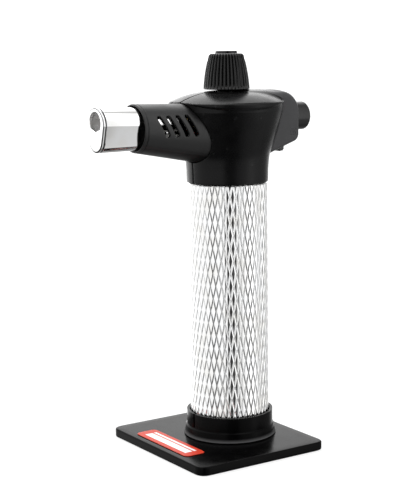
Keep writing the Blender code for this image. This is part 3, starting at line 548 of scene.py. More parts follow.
# Colour, roughness, grain scale and grain depth, then what differs from the usual.
# The last colour of stand_plastic and head_plastic is painted sheen, for the collar's foot and the rear
# block.
PLASTICS = {
    "stand_plastic": (DEEP_BLACK, 0.2, 2600.0, 1.0e-5, 0.2, 0.04, (0.1, 0.1, 0.102)),
    "head_plastic": (BLACK, 0.28, 3200.0, 1.4e-5, 0.5, 0.15, (0.068, 0.068, 0.07)),
    "barrel_plastic": (BLACK, 0.42, 2400.0, 3.0e-5),
    "knob_plastic": (DEEP_BLACK, 0.22, 3000.0, 1.2e-5, 0.5, 0.4),
    "tank_nylon": ((0.75, 0.75, 0.72), 0.42, 1800.0, 1.5e-5),
    "piezo_plastic": ((0.03, 0.03, 0.035), 0.5, 2200.0, 2.0e-5),
    "rubber": ((0.02, 0.02, 0.02), 0.75, 1500.0, 4.0e-5),
    "ceramic": ((0.85, 0.84, 0.8), 0.25, 700.0, 1.0e-5),
    "cable": ((0.5, 0.03, 0.02), 0.45, 900.0, 1.5e-5),
}
LOOKS = {name: plastic(name, *values) for name, values in PLASTICS.items()}
# Metals: slot, colour, roughness, direction, scale and depth of the tool lines, then what is unusual.
LOOKS |= {
    "aluminium": metal("aluminium", (0.93, 0.935, 0.94), 0.12, ALONG_GRIP, 1400.0, 2.5e-6, 0.04, 0.06, 0.4),
    "chrome": metal("chrome", (0.96, 0.965, 0.97), 0.09, ALONG_X, 1100.0, 1.2e-6, 0.03, 0.04, 1.6, 0.05),
    "burner_steel": metal("steel", (0.95, 0.95, 0.96), 0.55, ALONG_Z, 900.0, 5e-5),
    "steel": metal("steel", (0.52, 0.52, 0.53), 0.28, ALONG_Z, 1200.0, 5e-6),
    "brass": metal("brass", (0.72, 0.55, 0.25), 0.26, ALONG_Z, 1200.0, 5e-6, 0.05, 0.25),
    "felt": fibrous("felt", (0.8, 0.78, 0.7)),
    "label_red": label_film(),
}


# ---- stand

def screw_foot(number):
    """Where a collar screw's axis meets the ground."""
    middle = middle_of(f"collar_screw_{number}")
    return middle.x, middle.y, 0


def build_plate():
    """Moulded plate: rounded corners, a softened top edge and three screw recesses underneath."""
    low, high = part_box("stand_plate")
    mesh = mesh_of("plate", slab(low, high, 5.0 * MM, 14, 0.7 * MM, 6, 4.0 * MM))
    recess = [mm(*spot) for spot in ((0, -1), (3.1, -1), (3.1, 2.2), (1.5, 2.2), (1.5, 6), (0, 6))]
    holes = [lay(revolve(recess, 32), (0, 0, 1), screw_foot(number)) for number in NUMBERS]
    add_object("plate", carve(mesh, holes), "stand_plastic", "stand_plate", "stand")


def build_collar():
    """Two-step collar with a swept foot and a slit at the front and the rear."""
    floor, top = collar_low.z, collar_high.z
    outer = collar_high.x
    bore = GRIP_RADIUS + 0.35 * MM
    wall = outer - 1.4 * MM
    hole, inner_floor = mm(7, 6.9)
    step_low, step_high = mm(8.3, 8.8)
    # Radius and height, and how round each corner is in millimetres.
    corners = [
        (hole, floor, 0), (outer, floor, 0.1), (outer - 0.05 * MM, floor + 0.35 * MM, 0.15),
        (wall + 0.85 * MM, floor + 1.9 * MM, 1.6), (wall + 0.6 * MM, step_low, 0.3), (wall, step_high, 0.3),
        (wall, top, 0), (bore + 0.1 * MM, top, 0.3), (bore, top - 0.6 * MM, 0.2), (bore, inner_floor, 0.3),
        (hole, inner_floor, 0.1),
    ]
    section = rounded([spot[:2] for spot in corners], mm(*(spot[2] for spot in corners)), closed=True)
    cutters = [block(mm(-30, -0.6, 9.2), mm(30, 0.6, 20))]
    cutters += [drill(1.5 * MM, 0, 6.55 * MM, centre=screw_foot(number)) for number in NUMBERS]
    mesh = carve(mesh_of("collar", revolve(section, 160, ring=True)), cutters)
    # The swept foot gets a painted highlight: a paler band, also a little duller, along its fillet.
    line_low, line_high, line_radius = floor + 0.3 * MM, floor + 1.3 * MM, wall + 0.7 * MM
    mark(mesh, "matt", [
        float(line_low < spot.co.z < line_high and spot.co.xy.length > line_radius) for spot in mesh.vertices
    ])
    add_object("collar", mesh, "stand_plastic", "stand_collar", "stand")


def cross_recess(radius, depth, top):
    """Cutters for a cross-recess in a screw head whose top is at the given height."""
    arm = radius * 0.2
    return [
        block((-half_x, -half_y, top - depth), (half_x, half_y, top + MM))
        for half_x, half_y in ((radius, arm), (arm, radius))
    ]


def build_screw(node, body, direction, foot, head, top, sizes):
    """A turned screw with a cross recess, drawn head up along +Z and stood where its CAD node is."""
    tip, shank, rim, crown, taper, edge, recess = sizes
    mesh = mesh_of(node, revolve(rounded([
        (0, foot), (tip, foot), (shank, foot + taper), (shank, head), (rim, head), (rim, top - 0.5 * MM),
        (crown, top), (0, top),
    ], edge), 40))
    shape = bmesh.new()
    shape.from_mesh(carve(mesh, cross_recess(recess, 0.7 * MM, top)))
    middle = middle_of(node)
    upward = Vector(direction)
    lay(shape, direction, middle - upward * middle.dot(upward))
    add_object(f"{node}_look", shape, "steel", node, body, sharp=30.0)


def build_screws():
    # Radii of the tip, the shank, the head's rim and its top, then the taper, the edge round and the recess.
    collar_sizes = mm(0.6, 1.2, 2.8, 2.2, 0.6, 0.2, 1.3)
    shell_sizes = mm(0.5, 1.0, 1.75, 1.3, 0.8, 0.15, 1.0)
    for number in NUMBERS:
        node = f"collar_screw_{number}"
        low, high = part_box(node)
        # The head faces down, so the profile is made head up and turned over.
        build_screw(node, "stand", (0, 0, -1), -high.z, -1.9 * MM, -low.z, collar_sizes)
        node = f"shell_screw_{number}"
        low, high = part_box(node)
        build_screw(node, "torch", (0, 1, 0), low.y, high.y - 1.4 * MM, high.y, shell_sizes)


# ---- knurled grip

def build_grip():
    """Sleeve with two crossing families of V-grooves that leave long polished diamonds."""
    around = 43
    pitch = 11.4 * MM
    half_groove = 0.17
    depth = 0.26 * MM
    chamfer = 0.5 * MM
    inner = 17.25 * MM
    # Lines inside one diamond, as a share of its width.
    near = [share * half_groove for share in (0.35, 0.8, 1.15)]
    lines = [0.0, *near, 0.5, *(1 - share for share in reversed(near))]
    size = len(lines)
    bottom, top = grip_low.z, grip_high.z
    middle = (bottom + top) / 2

    def sink(share):
        t = max(0.0, 1.0 - min(share, 1 - share) / half_groove)
        return depth * t * t * (3 - 2 * t)

    rows = int((top - bottom) / pitch) + 3
    shape = bmesh.new()
    # The depth of the grooves, per vertex, which the aluminium turns into painted shade with some dirt.
    shade_and_dirt = shape.verts.layers.float.new("shade_and_dirt")
    grid = {}

    def vertex(i, j):
        """i counts lines of one family and j of the other; both wrap together round the sleeve."""
        lap = (i + j) // (2 * around * size)
        key = (i - lap * around * size, j - lap * around * size)
        if key not in grid:
            cell_a, part_a = divmod(key[0], size)
            cell_b, part_b = divmod(key[1], size)
            a = cell_a + lines[part_a]
            b = cell_b + lines[part_b]
            angle = TURN * (a + b) / (2 * around)
            height = bottom - pitch + (a - b) * pitch / 2
            radius = GRIP_RADIUS - max(sink(lines[part_a]), sink(lines[part_b]))
            grid[key] = shape.verts.new((radius * cos(angle), radius * sin(angle), height))
            grid[key][shade_and_dirt] = (GRIP_RADIUS - radius) / depth
        return grid[key]

    # One diamond per (s, d): s steps round the sleeve and d climbs it; a = (s + d) / 2, b = (s - d) / 2.
    for s in range(2 * around):
        for d in range(s % 2, 2 * rows, 2):
            for u in range(size):
                for v in range(size):
                    i, j = (s + d) // 2 * size + u, (s - d) // 2 * size + v
                    shape.faces.new((vertex(i, j), vertex(i + 1, j), vertex(i + 1, j + 1), vertex(i, j + 1)))
    for rim_height, upward in ((bottom + chamfer, -1), (top - chamfer, 1)):
        bmesh.ops.bisect_plane(
            shape, geom=shape.verts[:] + shape.edges[:] + shape.faces[:], dist=MERGE,
            plane_co=(0, 0, rim_height), plane_no=(0, 0, upward), clear_outer=True,
        )
    # Each end rounds over its rim and turns down the bore, where the two skins meet half way.
    for rim_height, end in ((bottom + chamfer, bottom), (top - chamfer, top)):
        rim = [e for e in shape.edges if e.is_boundary and abs(e.verts[0].co.z - rim_height) < 0.01 * MM]
        steps = [(GRIP_RADIUS - inset * MM, rim_height + (end - rim_height) * share)
                 for inset, share in ((0.3, 0.25), (0.38, 0.8), (0.5, 1.0))]
        for radius, level in steps + [(inner, end), (inner, middle)]:
            grown = bmesh.ops.extrude_edge_only(shape, edges=rim)["geom"]
            for corner in [g for g in grown if isinstance(g, bmesh.types.BMVert)]:
                scale = radius / hypot(corner.co.x, corner.co.y)
                corner.co = (corner.co.x * scale, corner.co.y * scale, level)
            rim = [g for g in grown if isinstance(g, bmesh.types.BMEdge)]
    add_object("knurled_grip", shape, "aluminium", "grip_sleeve", sharp=50.0)


# ---- head shells

NECK_HEIGHTS = np.array([120.9, 121.6, 128.5, 133.3, 137.5, 141.6, 145.9, 150.0, 153.6, 157.5, 164.0]) * MM
NECK_RADII = np.array([18.35, 18.4, 18.65, 19.3, 20.7, 22.1, 23.4, 24.5, 25.35, 26.2, 27.6]) * MM
CROWN_Z, CREASE_Z, CREASE_RADIUS, RIM_RADIUS = mm(161.7, 157.0, 25.1, 25.95)
CROWN_POWER = 2.4
CRESCENT_HEIGHT = 3.1 * MM
CRESCENT_MIDDLE, CRESCENT_REACH = 14.0, 62.0  # degrees forward of the side
BLOCK_TOP, BLOCK_ROUND, BLOCK_HALF_WIDTH, BLOCK_FRONT = mm(161.2, 8.2, 10.5, 4)
BLOCK_CROWN = 12.0
UNDERSIDE_X, UNDERSIDE_Z, UNDERSIDE_ROUND = mm(31.0, 137.9, 2.4)
UNDERSIDE_SLOPE = radians(19.0)
SHELL_WALL, BOSS_RADIUS = mm(1.9, 2.6)
SEAM_GAP, SEAM_ROUND = mm(0.25, 0.5)
RIB_OFFSETS = mm(0.0, 1.3, 2.6)
RIB_LOW, RIB_HIGH = mm(28.2, 10.0, 140.9), mm(28.8, 10.68, 143.7)
RIB_LEAN, RIB_LEAN_Z = 0.25, 143 * MM
LEVER_SLOT = (mm(26.5, -7.8, 130), mm(30.8, 7.8, 141), 0.6 * MM)
# X and Z of each shell screw, and the Y its head sits at.
SCREW_SEATS = (mm(-11.0, 127.8, 11.6), mm(12.6, 134.8, 11.6), mm(-6.4, 154.6, 20.5))
# The barrel's oblique cone: its start, length, axis height and radius there, and how both change.
CONE_FRONT, CONE_LENGTH, CONE_Z, CONE_DROP, CONE_RADIUS, CONE_FLARE = mm(-48.8, 30.8, 146.9, 3.4, 10.5, 2.5)


def smooth_curve(knots, values, count=400):
    """Catmull-Rom through knots, sampled finely, so that interpolation leaves no corners."""
    at = np.linspace(knots[0], knots[-1], count)
    slopes = np.gradient(values, knots)
    index = np.clip(np.searchsorted(knots, at, side="right") - 1, 0, len(knots) - 2)
    span = knots[index + 1] - knots[index]
    t = (at - knots[index]) / span
    curve = (
        (2 * t ** 3 - 3 * t ** 2 + 1) * values[index] + (t ** 3 - 2 * t ** 2 + t) * span * slopes[index]
        + (3 * t ** 2 - 2 * t ** 3) * values[index + 1] + (t ** 3 - t ** 2) * span * slopes[index + 1]
    )
    return at, curve


CURVE_Z, CURVE_R = smooth_curve(NECK_HEIGHTS, NECK_RADII)


def neck_field(x, y, z):
    """Neck and crown, with a raised crescent under the crown's edge on both sides."""
    side_slope, crown_slope = 0.95, 0.93
    tiny = 1e-9
    radius = np.hypot(x, y)
    wall = np.minimum(np.interp(z, CURVE_Z, CURVE_R), CREASE_RADIUS + 0.1 * MM)
    side = (radius - wall) * side_slope
    crown = (z - (CROWN_Z - (CROWN_Z - CREASE_Z) * (radius / CREASE_RADIUS) ** CROWN_POWER)) * crown_slope
    body = round_max(side, crown, 0.3 * MM)
    forward = np.degrees(np.arctan2(-x, np.abs(y) + tiny))
    height = CRESCENT_HEIGHT * np.clip(1 - ((forward - CRESCENT_MIDDLE) / CRESCENT_REACH) ** 2, 0.02, 1)
    half_height, half_depth = height / 2, 0.25 * MM + height * 0.3
    across = (radius - (RIM_RADIUS - half_depth)) / half_depth
    up = (z - (CREASE_Z - 0.1 * MM - half_height)) / half_height
    reach = np.sqrt(across ** 2 + up ** 2) + tiny
    slope = np.sqrt((across / half_depth) ** 2 + (up / half_height) ** 2) + tiny
    crescent = np.where(height > 0.15 * MM, reach * (reach - 1) / slope, 1.0)
    body = round_min(body, crescent, 0.12 * MM)
    return round_max(body, head_low.z - z, 0.22 * MM)


def block_field(x, y, z):
    """Rear block: a large round at the top corner, a sloping underside and soft side edges."""
    outline = round_max(x - head_high.x, z + BLOCK_CROWN * y ** 2 - BLOCK_TOP, BLOCK_ROUND)
    under = (x - UNDERSIDE_X) * sin(UNDERSIDE_SLOPE) - (z - UNDERSIDE_Z) * cos(UNDERSIDE_SLOPE)
    outline = round_max(outline, under, UNDERSIDE_ROUND)
    soft = 1.5 * MM + 0.9 * MM * smooth_step(z, 152 * MM, 159 * MM)
    solid = round_max(outline, np.abs(y) - BLOCK_HALF_WIDTH, soft)
    return np.maximum(solid, BLOCK_FRONT - x)


def cone_at(x):
    """Height of the barrel's axis and its radius at a place along it."""
    part = (x - CONE_FRONT) / CONE_LENGTH
    return CONE_Z - CONE_DROP * part, CONE_RADIUS + CONE_FLARE * part


def box_field(x, y, z, low, high, radius):
    """Rounded box."""
    fields = []
    for value, start, end in zip((x, y, z), low, high):
        fields.append(np.abs(value - (start + end) / 2) - (end - start) / 2 + radius)
    outside = np.sqrt(sum(np.maximum(f, 0) ** 2 for f in fields))
    inside = np.minimum(np.maximum(np.maximum(fields[0], fields[1]), fields[2]), 0)
    return outside + inside - radius


def shell_field(x, y, z, side):
    """One half of the head; side is -1 for the left shell and +1 for the right."""
    neck = neck_field(x, y, z)
    rear = block_field(x, y, z)
    fillet = 0.5 * MM + 2.5 * MM * smooth_step(z, 155 * MM, 160 * MM)
    outer = round_min(neck, rear, fillet)
    # Three short grip ribs low on each side panel.
    for offset in RIB_OFFSETS:
        rib_x = x - offset - RIB_LEAN * (z - RIB_LEAN_Z)
        outer = round_min(outer, box_field(rib_x, np.abs(y), z, RIB_LOW, RIB_HIGH, 0.25 * MM), 0.12 * MM)
    hollow = np.minimum(neck, rear) + SHELL_WALL
    for screw_x, screw_z, _ in SCREW_SEATS:
        hollow = np.maximum(hollow, BOSS_RADIUS - np.hypot(x - screw_x, z - screw_z))
    shell = np.maximum(outer, -hollow)
    axis_z, radius = cone_at(x)
    barrel_seat = np.maximum(np.hypot(y, z - axis_z) - radius - 0.3 * MM, x + 14.2 * MM)
    valve_hole = np.maximum(np.hypot(x, y) - 4.6 * MM, 150 * MM - z)
    button_hole = np.maximum(np.hypot(y, z - BUTTON_Z) - 6.85 * MM, 24 * MM - x)
    lever_slot = box_field(x, y, z, *LEVER_SLOT)
    for cut, edge in ((barrel_seat, 0.25), (valve_hole, 0.25), (button_hole, 0.35), (lever_slot, 0.25)):
        shell = round_max(shell, -cut, edge * MM)
    for screw_x, screw_z, seat_y in SCREW_SEATS:
        away = np.hypot(x - screw_x, z - screw_z)
        shell = np.maximum(shell, -np.maximum(away - 1.3 * MM, -8 * MM - y))
        shell = round_max(shell, -np.maximum(away - 2.05 * MM, seat_y - y), 0.25 * MM)
    return round_max(shell, SEAM_GAP - side * y, SEAM_ROUND)


def stepped(*stops):
    """Axis samples from (start, end, step) runs that join up, all in millimetres."""
    runs = []
    for start, end, step in stops:
        count = max(1, round((end - start) / step))
        runs.append(np.linspace(start, end, count, endpoint=False))
    return np.concatenate(runs + [[stops[-1][1]]]) * MM


def build_shells():
    step = 0.42
    xs = stepped((-27.5, 35, step))
    near = stepped((-0.3, 0.7, 0.14), (0.7, 2, 0.3), (2, 27.5, step))
    zs = stepped((119.5, 123, 0.3), (123, 153, step), (153, 158.5, 0.28), (158.5, 163.5, step))
    for side, name, ys in ((-1, "left", -near[::-1]), (1, "right", near)):
        mesh = field_mesh(f"shell_{name}", lambda x, y, z: shell_field(x, y, z, side), xs, ys, zs)
        spots = np.array([corner.co for corner in mesh.vertices]).T
        # Painted sheen: the rear block is paler than the neck, for the light its side panels catch; it is a
        # little duller too.
        mark(mesh, "matt", smooth_step(neck_field(*spots) - block_field(*spots), 0.0, 0.5 * MM))
        add_object(f"shell_{name}", mesh, "head_plastic", f"head_shell_{name}", sharp=None)


# ---- barrel

SLOT_X = mm(-39.7, -35.1, -30.5, -25.9)
SLOT_Z, SLOT_HALF_LENGTH, SLOT_HALF_WIDTH = mm(147.7, 4.1, 0.95)
SLOT_SLANT = radians(24.0)
MOUTH_GROOVE_X, MOUTH_GROOVE_RADIUS = mm(1.45, 0.22)


def build_barrel():
    """Moulded barrel meshed along its length, turn and depth, so that its slots and groove stay crisp."""
    low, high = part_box("barrel")
    mouth, root = low.x, high.x
    fine_end, end = mouth / MM + 2.4, root / MM + 0.5
    lengths = stepped((mouth / MM - 0.4, fine_end, 0.1), (fine_end, end, 0.28))
    turns = np.linspace(0, TURN, 288, endpoint=False)
    depths = mm(-2.6, -2.2, -1.8, -1.5, -1.25, -1.0, -0.8, -0.6, -0.45, -0.3, -0.18, -0.06, 0.06, 0.3)

    def place(along, turn, depth):
        axis_z, radius = cone_at(along)
        return along, (radius + depth) * np.sin(turn), axis_z + (radius + depth) * np.cos(turn)

    along, turn, depth = np.meshgrid(lengths, turns, depths, indexing="ij")
    x, y, z = place(along, turn, depth)
    wall = (0.8 + 0.6 * smooth_step(along, mouth + 5.0 * MM, mouth + 7.0 * MM)) * MM
    solid = round_max(depth, mouth - along, 0.28 * MM)
    solid = np.maximum(solid, along - root)
    solid = round_max(solid, -(depth + wall), 0.2 * MM)
    solid = np.maximum(solid, MOUTH_GROOVE_RADIUS - np.hypot(along - mouth - MOUTH_GROOVE_X, depth))
    cosine, sine = cos(SLOT_SLANT), sin(SLOT_SLANT)
    for slot_x in SLOT_X:
        u = (x - slot_x) * cosine + (z - SLOT_Z) * sine
        v = (z - SLOT_Z) * cosine - (x - slot_x) * sine
        slot = np.hypot(u, np.maximum(np.abs(v) - SLOT_HALF_LENGTH, 0)) - SLOT_HALF_WIDTH
        solid = round_max(solid, -slot, 0.25 * MM)
    spots, faces = surface_net(solid, wrap=True)
    at = np.interp(spots[:, 0], np.arange(len(lengths)), lengths)
    angle = spots[:, 1] * TURN / len(turns)
    deep = np.interp(spots[:, 2], np.arange(len(depths)), depths)
    mesh = bpy.data.meshes.new("barrel_net")
    mesh.from_pydata(np.stack(place(at, angle, deep), 1).tolist(), [], faces.tolist())
    shape = bmesh.new()
    shape.from_mesh(mesh)
    add_object("barrel_look", shape, "barrel_plastic", "barrel", sharp=40.0)


# ---- flame tube and burner

TUBE_TOP_RADIUS, TUBE_FOOT_RADIUS, TUBE_WALL, TUBE_RIM = mm(7.45, 5.6, 0.7, 0.55)
TUBE_TOP_Z, TUBE_FOOT_Z = mm(149.24, 137.45)
TUBE_TILT = 0.031
OPENING_Z, OPENING_RADIUS, OPENING_APEX = mm(150.2, 4.7, 3.8)
OPENING_FLANK = radians(122.0)
TUBE_ANGLES = np.linspace(0, TURN, 180, endpoint=False)
FOLDED_ANGLES = np.abs((TUBE_ANGLES + pi) % TURN - pi)
# How far behind the face and how far in each ring behind the rim lies; the third and fourth are the groove.
BEHIND_RIM = ((1.9, 0.0), (1.75, 0.05), (1.6, 0.24), (1.1, 0.24), (0.95, 0.06), (0.75, 0.0))
# How far behind the face and how much wider than the opening each ring of its lip lies.
OPENING_LIP = ((0.0, 0.35), (0.06, 0.14), (0.25, 0.0), (1.3, 0.0), (1.3, 0.4))


def tube_centre(x):
    """Height of the flame tube's top arc, which climbs a little towards the face."""
    return TUBE_TOP_Z - TUBE_TILT * (x - tube_low.x)


def reach_round(points):
    """Distance from the centre to an outline, at every tube angle; points (y, z) give its right half."""
    y, z = np.array(points).T
    angles = np.arctan2(y, z)
    order = np.argsort(angles)
    return np.interp(FOLDED_ANGLES, angles[order], np.hypot(y, z)[order])


def teardrop(drop):
    """Reach of the tube's outline from the top arc's centre: half a circle, flanks and a round foot."""
    top, foot = TUBE_TOP_RADIUS, TUBE_FOOT_RADIUS
    drop -= foot
    half = [(top * sin(t), top * cos(t)) for t in np.linspace(0, pi / 2, 40)]
    half_foot = pi - atan2(top, drop) - acos(foot / hypot(top, drop))
    touch = (foot * sin(half_foot), -drop - foot * cos(half_foot))
    for share in np.linspace(0, 1, 30)[1:-1]:
        half.append((top + (touch[0] - top) * share, touch[1] * share))
    for t in np.linspace(half_foot, 0, 30):
        half.append((foot * sin(t), -drop - foot * cos(t)))
    return reach_round(half)


def opening_outline(grow):
    """Points (y, z) of the opening: round, running to a blunt V at the foot."""
    start = np.array([sin(OPENING_FLANK), cos(OPENING_FLANK)]) * OPENING_RADIUS
    end = np.array([0.0, -OPENING_APEX])
    shares = np.linspace(0, 1, 30)[:, None]
    straight = reach_round(start * (1 - shares) + end * shares)
    reach = np.where(FOLDED_ANGLES < OPENING_FLANK, OPENING_RADIUS, straight) + grow
    return np.stack([reach * np.sin(TUBE_ANGLES), OPENING_Z + reach * np.cos(TUBE_ANGLES)], 1)


def build_flame_tube():
    """Pressed chrome tube: rolled rim, a groove behind it, painted shade on both, and an opening with a
    turned-in lip.
    """
    face, rear = tube_low.x, tube_high.x

    def tube_ring(x, inset):
        centre = tube_centre(x)
        reach = teardrop(centre - TUBE_FOOT_Z) - inset
        return [(x, r * sin(a), centre + r * cos(a)) for r, a in zip(reach, TUBE_ANGLES)]

    skin = [(rear, 0.12 * MM), (rear - 0.15 * MM, 0.0)]
    groove_rings = (len(skin) + 2, len(skin) + 3)
    skin += [(face + back * MM, inset * MM) for back, inset in BEHIND_RIM]
    for t in np.linspace(0, pi / 2, 9):
        skin.append((face + TUBE_RIM * (1 - sin(t)), TUBE_RIM * (1 - cos(t))))
    rim_rings = range(len(skin) - 5, len(skin))
    rings = [tube_ring(x, inset) for x, inset in skin]
    edge = np.array(rings[-1])[:, 1:]
    hole = opening_outline(OPENING_LIP[0][1] * MM)
    for share in (0.05, 0.3, 0.65):
        rings.append([(face, y, z) for y, z in edge * (1 - share) + hole * share])
    for back, gap in OPENING_LIP:
        rings.append([(face + back * MM, y, z) for y, z in opening_outline(gap * MM)])
    for x, inset in ((face + 1.3 * MM, 2 * TUBE_WALL), (face + 2.2 * MM, TUBE_WALL), (rear, TUBE_WALL)):
        rings.append(tube_ring(x, inset))
    mesh = mesh_of("flame_tube_look", loft(rings, closed=True))
    # The vertices still stand ring by ring: the groove and the rim, most of all at the foot, get painted
    # shade.
    shades = []
    for corner in mesh.vertices:
        number, step = divmod(corner.index, len(TUBE_ANGLES))
        at_foot = smooth_step(-cos(TUBE_ANGLES[step]), 0.6, 0.9)
        on_rim = (number in rim_rings) * (0.5 + 0.5 * at_foot)
        shades.append(float(number in groove_rings or on_rim))
    mark(mesh, "shade_and_dirt", shades)
    add_object("flame_tube_look", mesh, "chrome", "flame_tube", sharp=30.0)


def along_barrel(shape, height=BURNER_Z):
    """Lay a turned piece so that its +Z runs forward along -X at the burner's height."""
    return lay(shape, (-1, 0, 0), (0, 0, height))


def barrel_tube(node, inner, outer, edge, segments, front=None, height=BURNER_Z):
    """A plain tube along the barrel in the space of its CAD node, unless its front end is given."""
    low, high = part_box(node)
    section = tube_section(inner, outer, -high.x, -low.x if front is None else front, edge)
    return along_barrel(revolve(section, segments, True), height)


def build_burner():
    """Burner tube, perforated flame holder, mixing tube with its air ports and the electrode's insulator."""
    shape = barrel_tube("burner_tube", *mm(5.1, 5.6, 0.15), 96, -tube_low.x - 1.6 * MM)
    add_object("burner_look", shape, "burner_steel", "burner_tube", sharp=30.0)

    low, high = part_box("flame_holder")
    front, back, nose = -low.x, -high.x, -low.x - 0.35 * MM
    radius, nose_radius, nose_foot = mm(4.8, 1.7, 2.2)
    section = rounded([
        (0, back), (radius, back), (radius, front), (nose_foot, front), (nose_radius, nose), (0, nose),
    ], 0.2 * MM)
    mesh = mesh_of("flame_holder_look", along_barrel(revolve(section, 72)))
    circle, ports = 2.9 * MM, []
    for number in range(6):
        angle = TURN * number / 6
        centre = (0, circle * sin(angle), BURNER_Z + circle * cos(angle))
        ports.append(drill(0.9 * MM, 0.05, 0.065, (-1, 0, 0), centre))
    add_object("flame_holder_look", carve(mesh, ports), "burner_steel", "flame_holder", sharp=30.0)

    mesh = mesh_of("mixing_look", barrel_tube("mixing_tube", *mm(4.2, 5.0, 0.2), 96))
    port = drill(1.4 * MM, -8 * MM, 8 * MM, (0, 1, 0), (-24.5 * MM, 0, BURNER_Z), 32)
    add_object("mixing_look", carve(mesh, [port]), "chrome", "mixing_tube", sharp=30.0)

    node = "electrode_insulator"
    shape = barrel_tube(node, *mm(0.75, 2.0, 0.35), 48, height=level_of(node))
    add_object("insulator_look", shape, "ceramic", node)


# ---- knob, button, springs and lever

def build_knob():
    """Tapered knob: rounded ribs over a plain skirt band, running in over the shoulder."""
    flutes = 36
    segments = flutes * 10
    flute_depth = 0.75 * MM
    low_radius, high_radius, bulge = mm(10.4, 7.6, 0.45)
    bore, hub, wall, recess, shoulder_round = mm(1.95, 4.2, 1.6, 5.1, 1.7)
    foot, bottom, roof = mm(158.2, 162.2, 173.5)
    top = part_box("flow_knob")[1].z
    shoulder = top - shoulder_round
    recess_floor = top - 1.6 * MM

    def side(height):
        part = (height - bottom) / (top - bottom)
        return low_radius + (high_radius - low_radius) * part + bulge * sin(pi * part)

    skin = [(low_radius - 0.25 * MM, bottom), (side(bottom + 0.2 * MM), bottom + 0.25 * MM)]
    skin += [(side(h), h) for h in np.linspace(bottom + 0.9 * MM, shoulder, 20)]
    for step in range(1, 8):
        t = step / 7 * pi / 2
        skin.append((side(shoulder) - shoulder_round * (1 - cos(t)), shoulder + shoulder_round * sin(t)))
    inside = [
        (bore, foot), (hub - 0.2 * MM, foot), (hub, foot + 0.2 * MM), (hub, roof), (side(roof) - wall, roof),
        (low_radius - wall, bottom + 0.1 * MM),
    ]
    over = [
        (recess + 0.15 * MM, top), (recess, top - 0.15 * MM), (recess, recess_floor), (bore, recess_floor),
    ]
    rings = []
    for number, (radius, height) in enumerate(inside + skin + over):
        on_skin = 0 <= number - len(inside) < len(skin)
        fade_low = smooth_step(height, bottom + 0.7 * MM, bottom + 1.15 * MM)
        fade_high = 1 - smooth_step(height, top - 0.7 * MM, top - 0.05 * MM)
        deep = flute_depth * float(fade_low * fade_high) if on_skin else 0.0
        ring = []
        for k in range(segments):
            wave = 0.5 - 0.5 * cos(TURN * k * flutes / segments)
            r = radius - deep * wave ** 1.5
            angle = TURN * k / segments
            ring.append((r * cos(angle), r * sin(angle), height))
        rings.append(ring)
    add_object("knob", loft(rings, closed=True), "knob_plastic", "flow_knob", "knob", sharp=45.0)

    low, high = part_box("knob_cap")
    section = [(0, low.z), (high.x, low.z), (high.x, high.z - 0.1 * MM), (high.x * 0.5, high.z), (0, high.z)]
    shape = revolve(rounded(section, mm(0, 0.1, 0.45, 0, 0), steps=6), 96)
    add_object("knob_cap_look", shape, "knob_plastic", "knob_cap", "knob")


def build_button():
    """Push button: a thin-walled cup with a soft, slightly domed end and a fine ring."""
    low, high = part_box("ignition_button")
    radius, start, end = high.y, low.x, high.x
    wall, inside = mm(1.2, 41.0)
    section = [
        (0, inside), (radius - wall, inside), (radius - wall, start), (radius, start),
        (radius, end - 1.6 * MM), (radius - 1.6 * MM, end - 0.25 * MM), (radius - 2.6 * MM, end - 0.16 * MM),
        (0, end),
    ]
    section = rounded(section, mm(0, 0.4, 0.1, 0.3, 1.2, 0.9, 0, 0), steps=8)
    shape = lay(revolve(section, 96), (1, 0, 0), (0, 0, BUTTON_Z))
    add_object("button", shape, "knob_plastic", "ignition_button", "button")


def build_spring(name, node, axis, height, radius, wire, joint, travel, fixed_low):
    """Coil spring in the space of its CAD node. axis is 0 for X and 2 for Z, and height is the level of its
    axis where that is X."""
    low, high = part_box(node)
    length = high[axis] - low[axis]
    turns, steps = 4, 24
    middle = (0.0, 0.0, height)
    first, second = (axis + 1) % 3, (axis + 2) % 3
    points = []
    for index in range(turns * steps + 1):
        angle = TURN * index / steps
        spot = [0.0, 0.0, 0.0]
        spot[axis] = low[axis] + wire + (length - 2 * wire) * index / (turns * steps)
        spot[first] = middle[first] + radius * cos(angle)
        spot[second] = middle[second] + radius * sin(angle)
        points.append(spot)
    spring = add_object(name, pipe(points, wire, 10), "steel", node, sharp=None)
    anchor = (low + high) / 2
    anchor[axis] = low[axis] if fixed_low else high[axis]
    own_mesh(spring)


def build_lever():
    """Moulded lever: a ring round the valve, an arm, and a tab that turns down through the head."""
    low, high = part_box("flame_lever")
    bottom, top, rear = low.z, high.z, high.x
    plane = top - 1.2 * MM
    arm_start, tab_top = 6.4 * MM, plane - 0.2 * MM
    tab_front = rear - 2.6 * MM
    arm = rounded([
        (arm_start, top), (rear, top), (rear, bottom), (tab_front, bottom), (tab_front, plane),
        (arm_start, plane),
    ], mm(0, 0.9, 0.35, 0.35, 0.4, 0), closed=True)
    tab = rounded([
        (tab_front, bottom - 0.2 * MM), (rear, bottom + 0.7 * MM), (rear, tab_top), (tab_front, tab_top),
    ], 0.35 * MM, closed=True)

    def strap(outline, half, edge):
        """The outline (x, z) made 2 * half wide, with its side edges taken off."""
        rings = []
        middle_x, middle_z = (sum(values) / len(outline) for values in zip(*outline))

        def pulled(value, middle, inset):
            return value - copysign(min(inset, abs(value - middle)), value - middle)

        for y, inset in ((-half, edge), (-half + edge, 0), (half - edge, 0), (half, edge)):
            rings.append([(pulled(x, middle_x, inset), y, pulled(z, middle_z, inset)) for x, z in outline])
        return loft(rings)

    ring = revolve(tube_section(4.9 * MM, 7.2 * MM, plane, top, 0.2 * MM), 72, True)
    straps = [strap(arm, 1.5 * MM, 0.15 * MM), strap(tab, 2.3 * MM, 0.25 * MM)]
    mesh = carve(mesh_of("lever", ring), straps, "UNION")
    add_object("lever", mesh, "knob_plastic", "flame_lever", "lever", sharp=30.0)


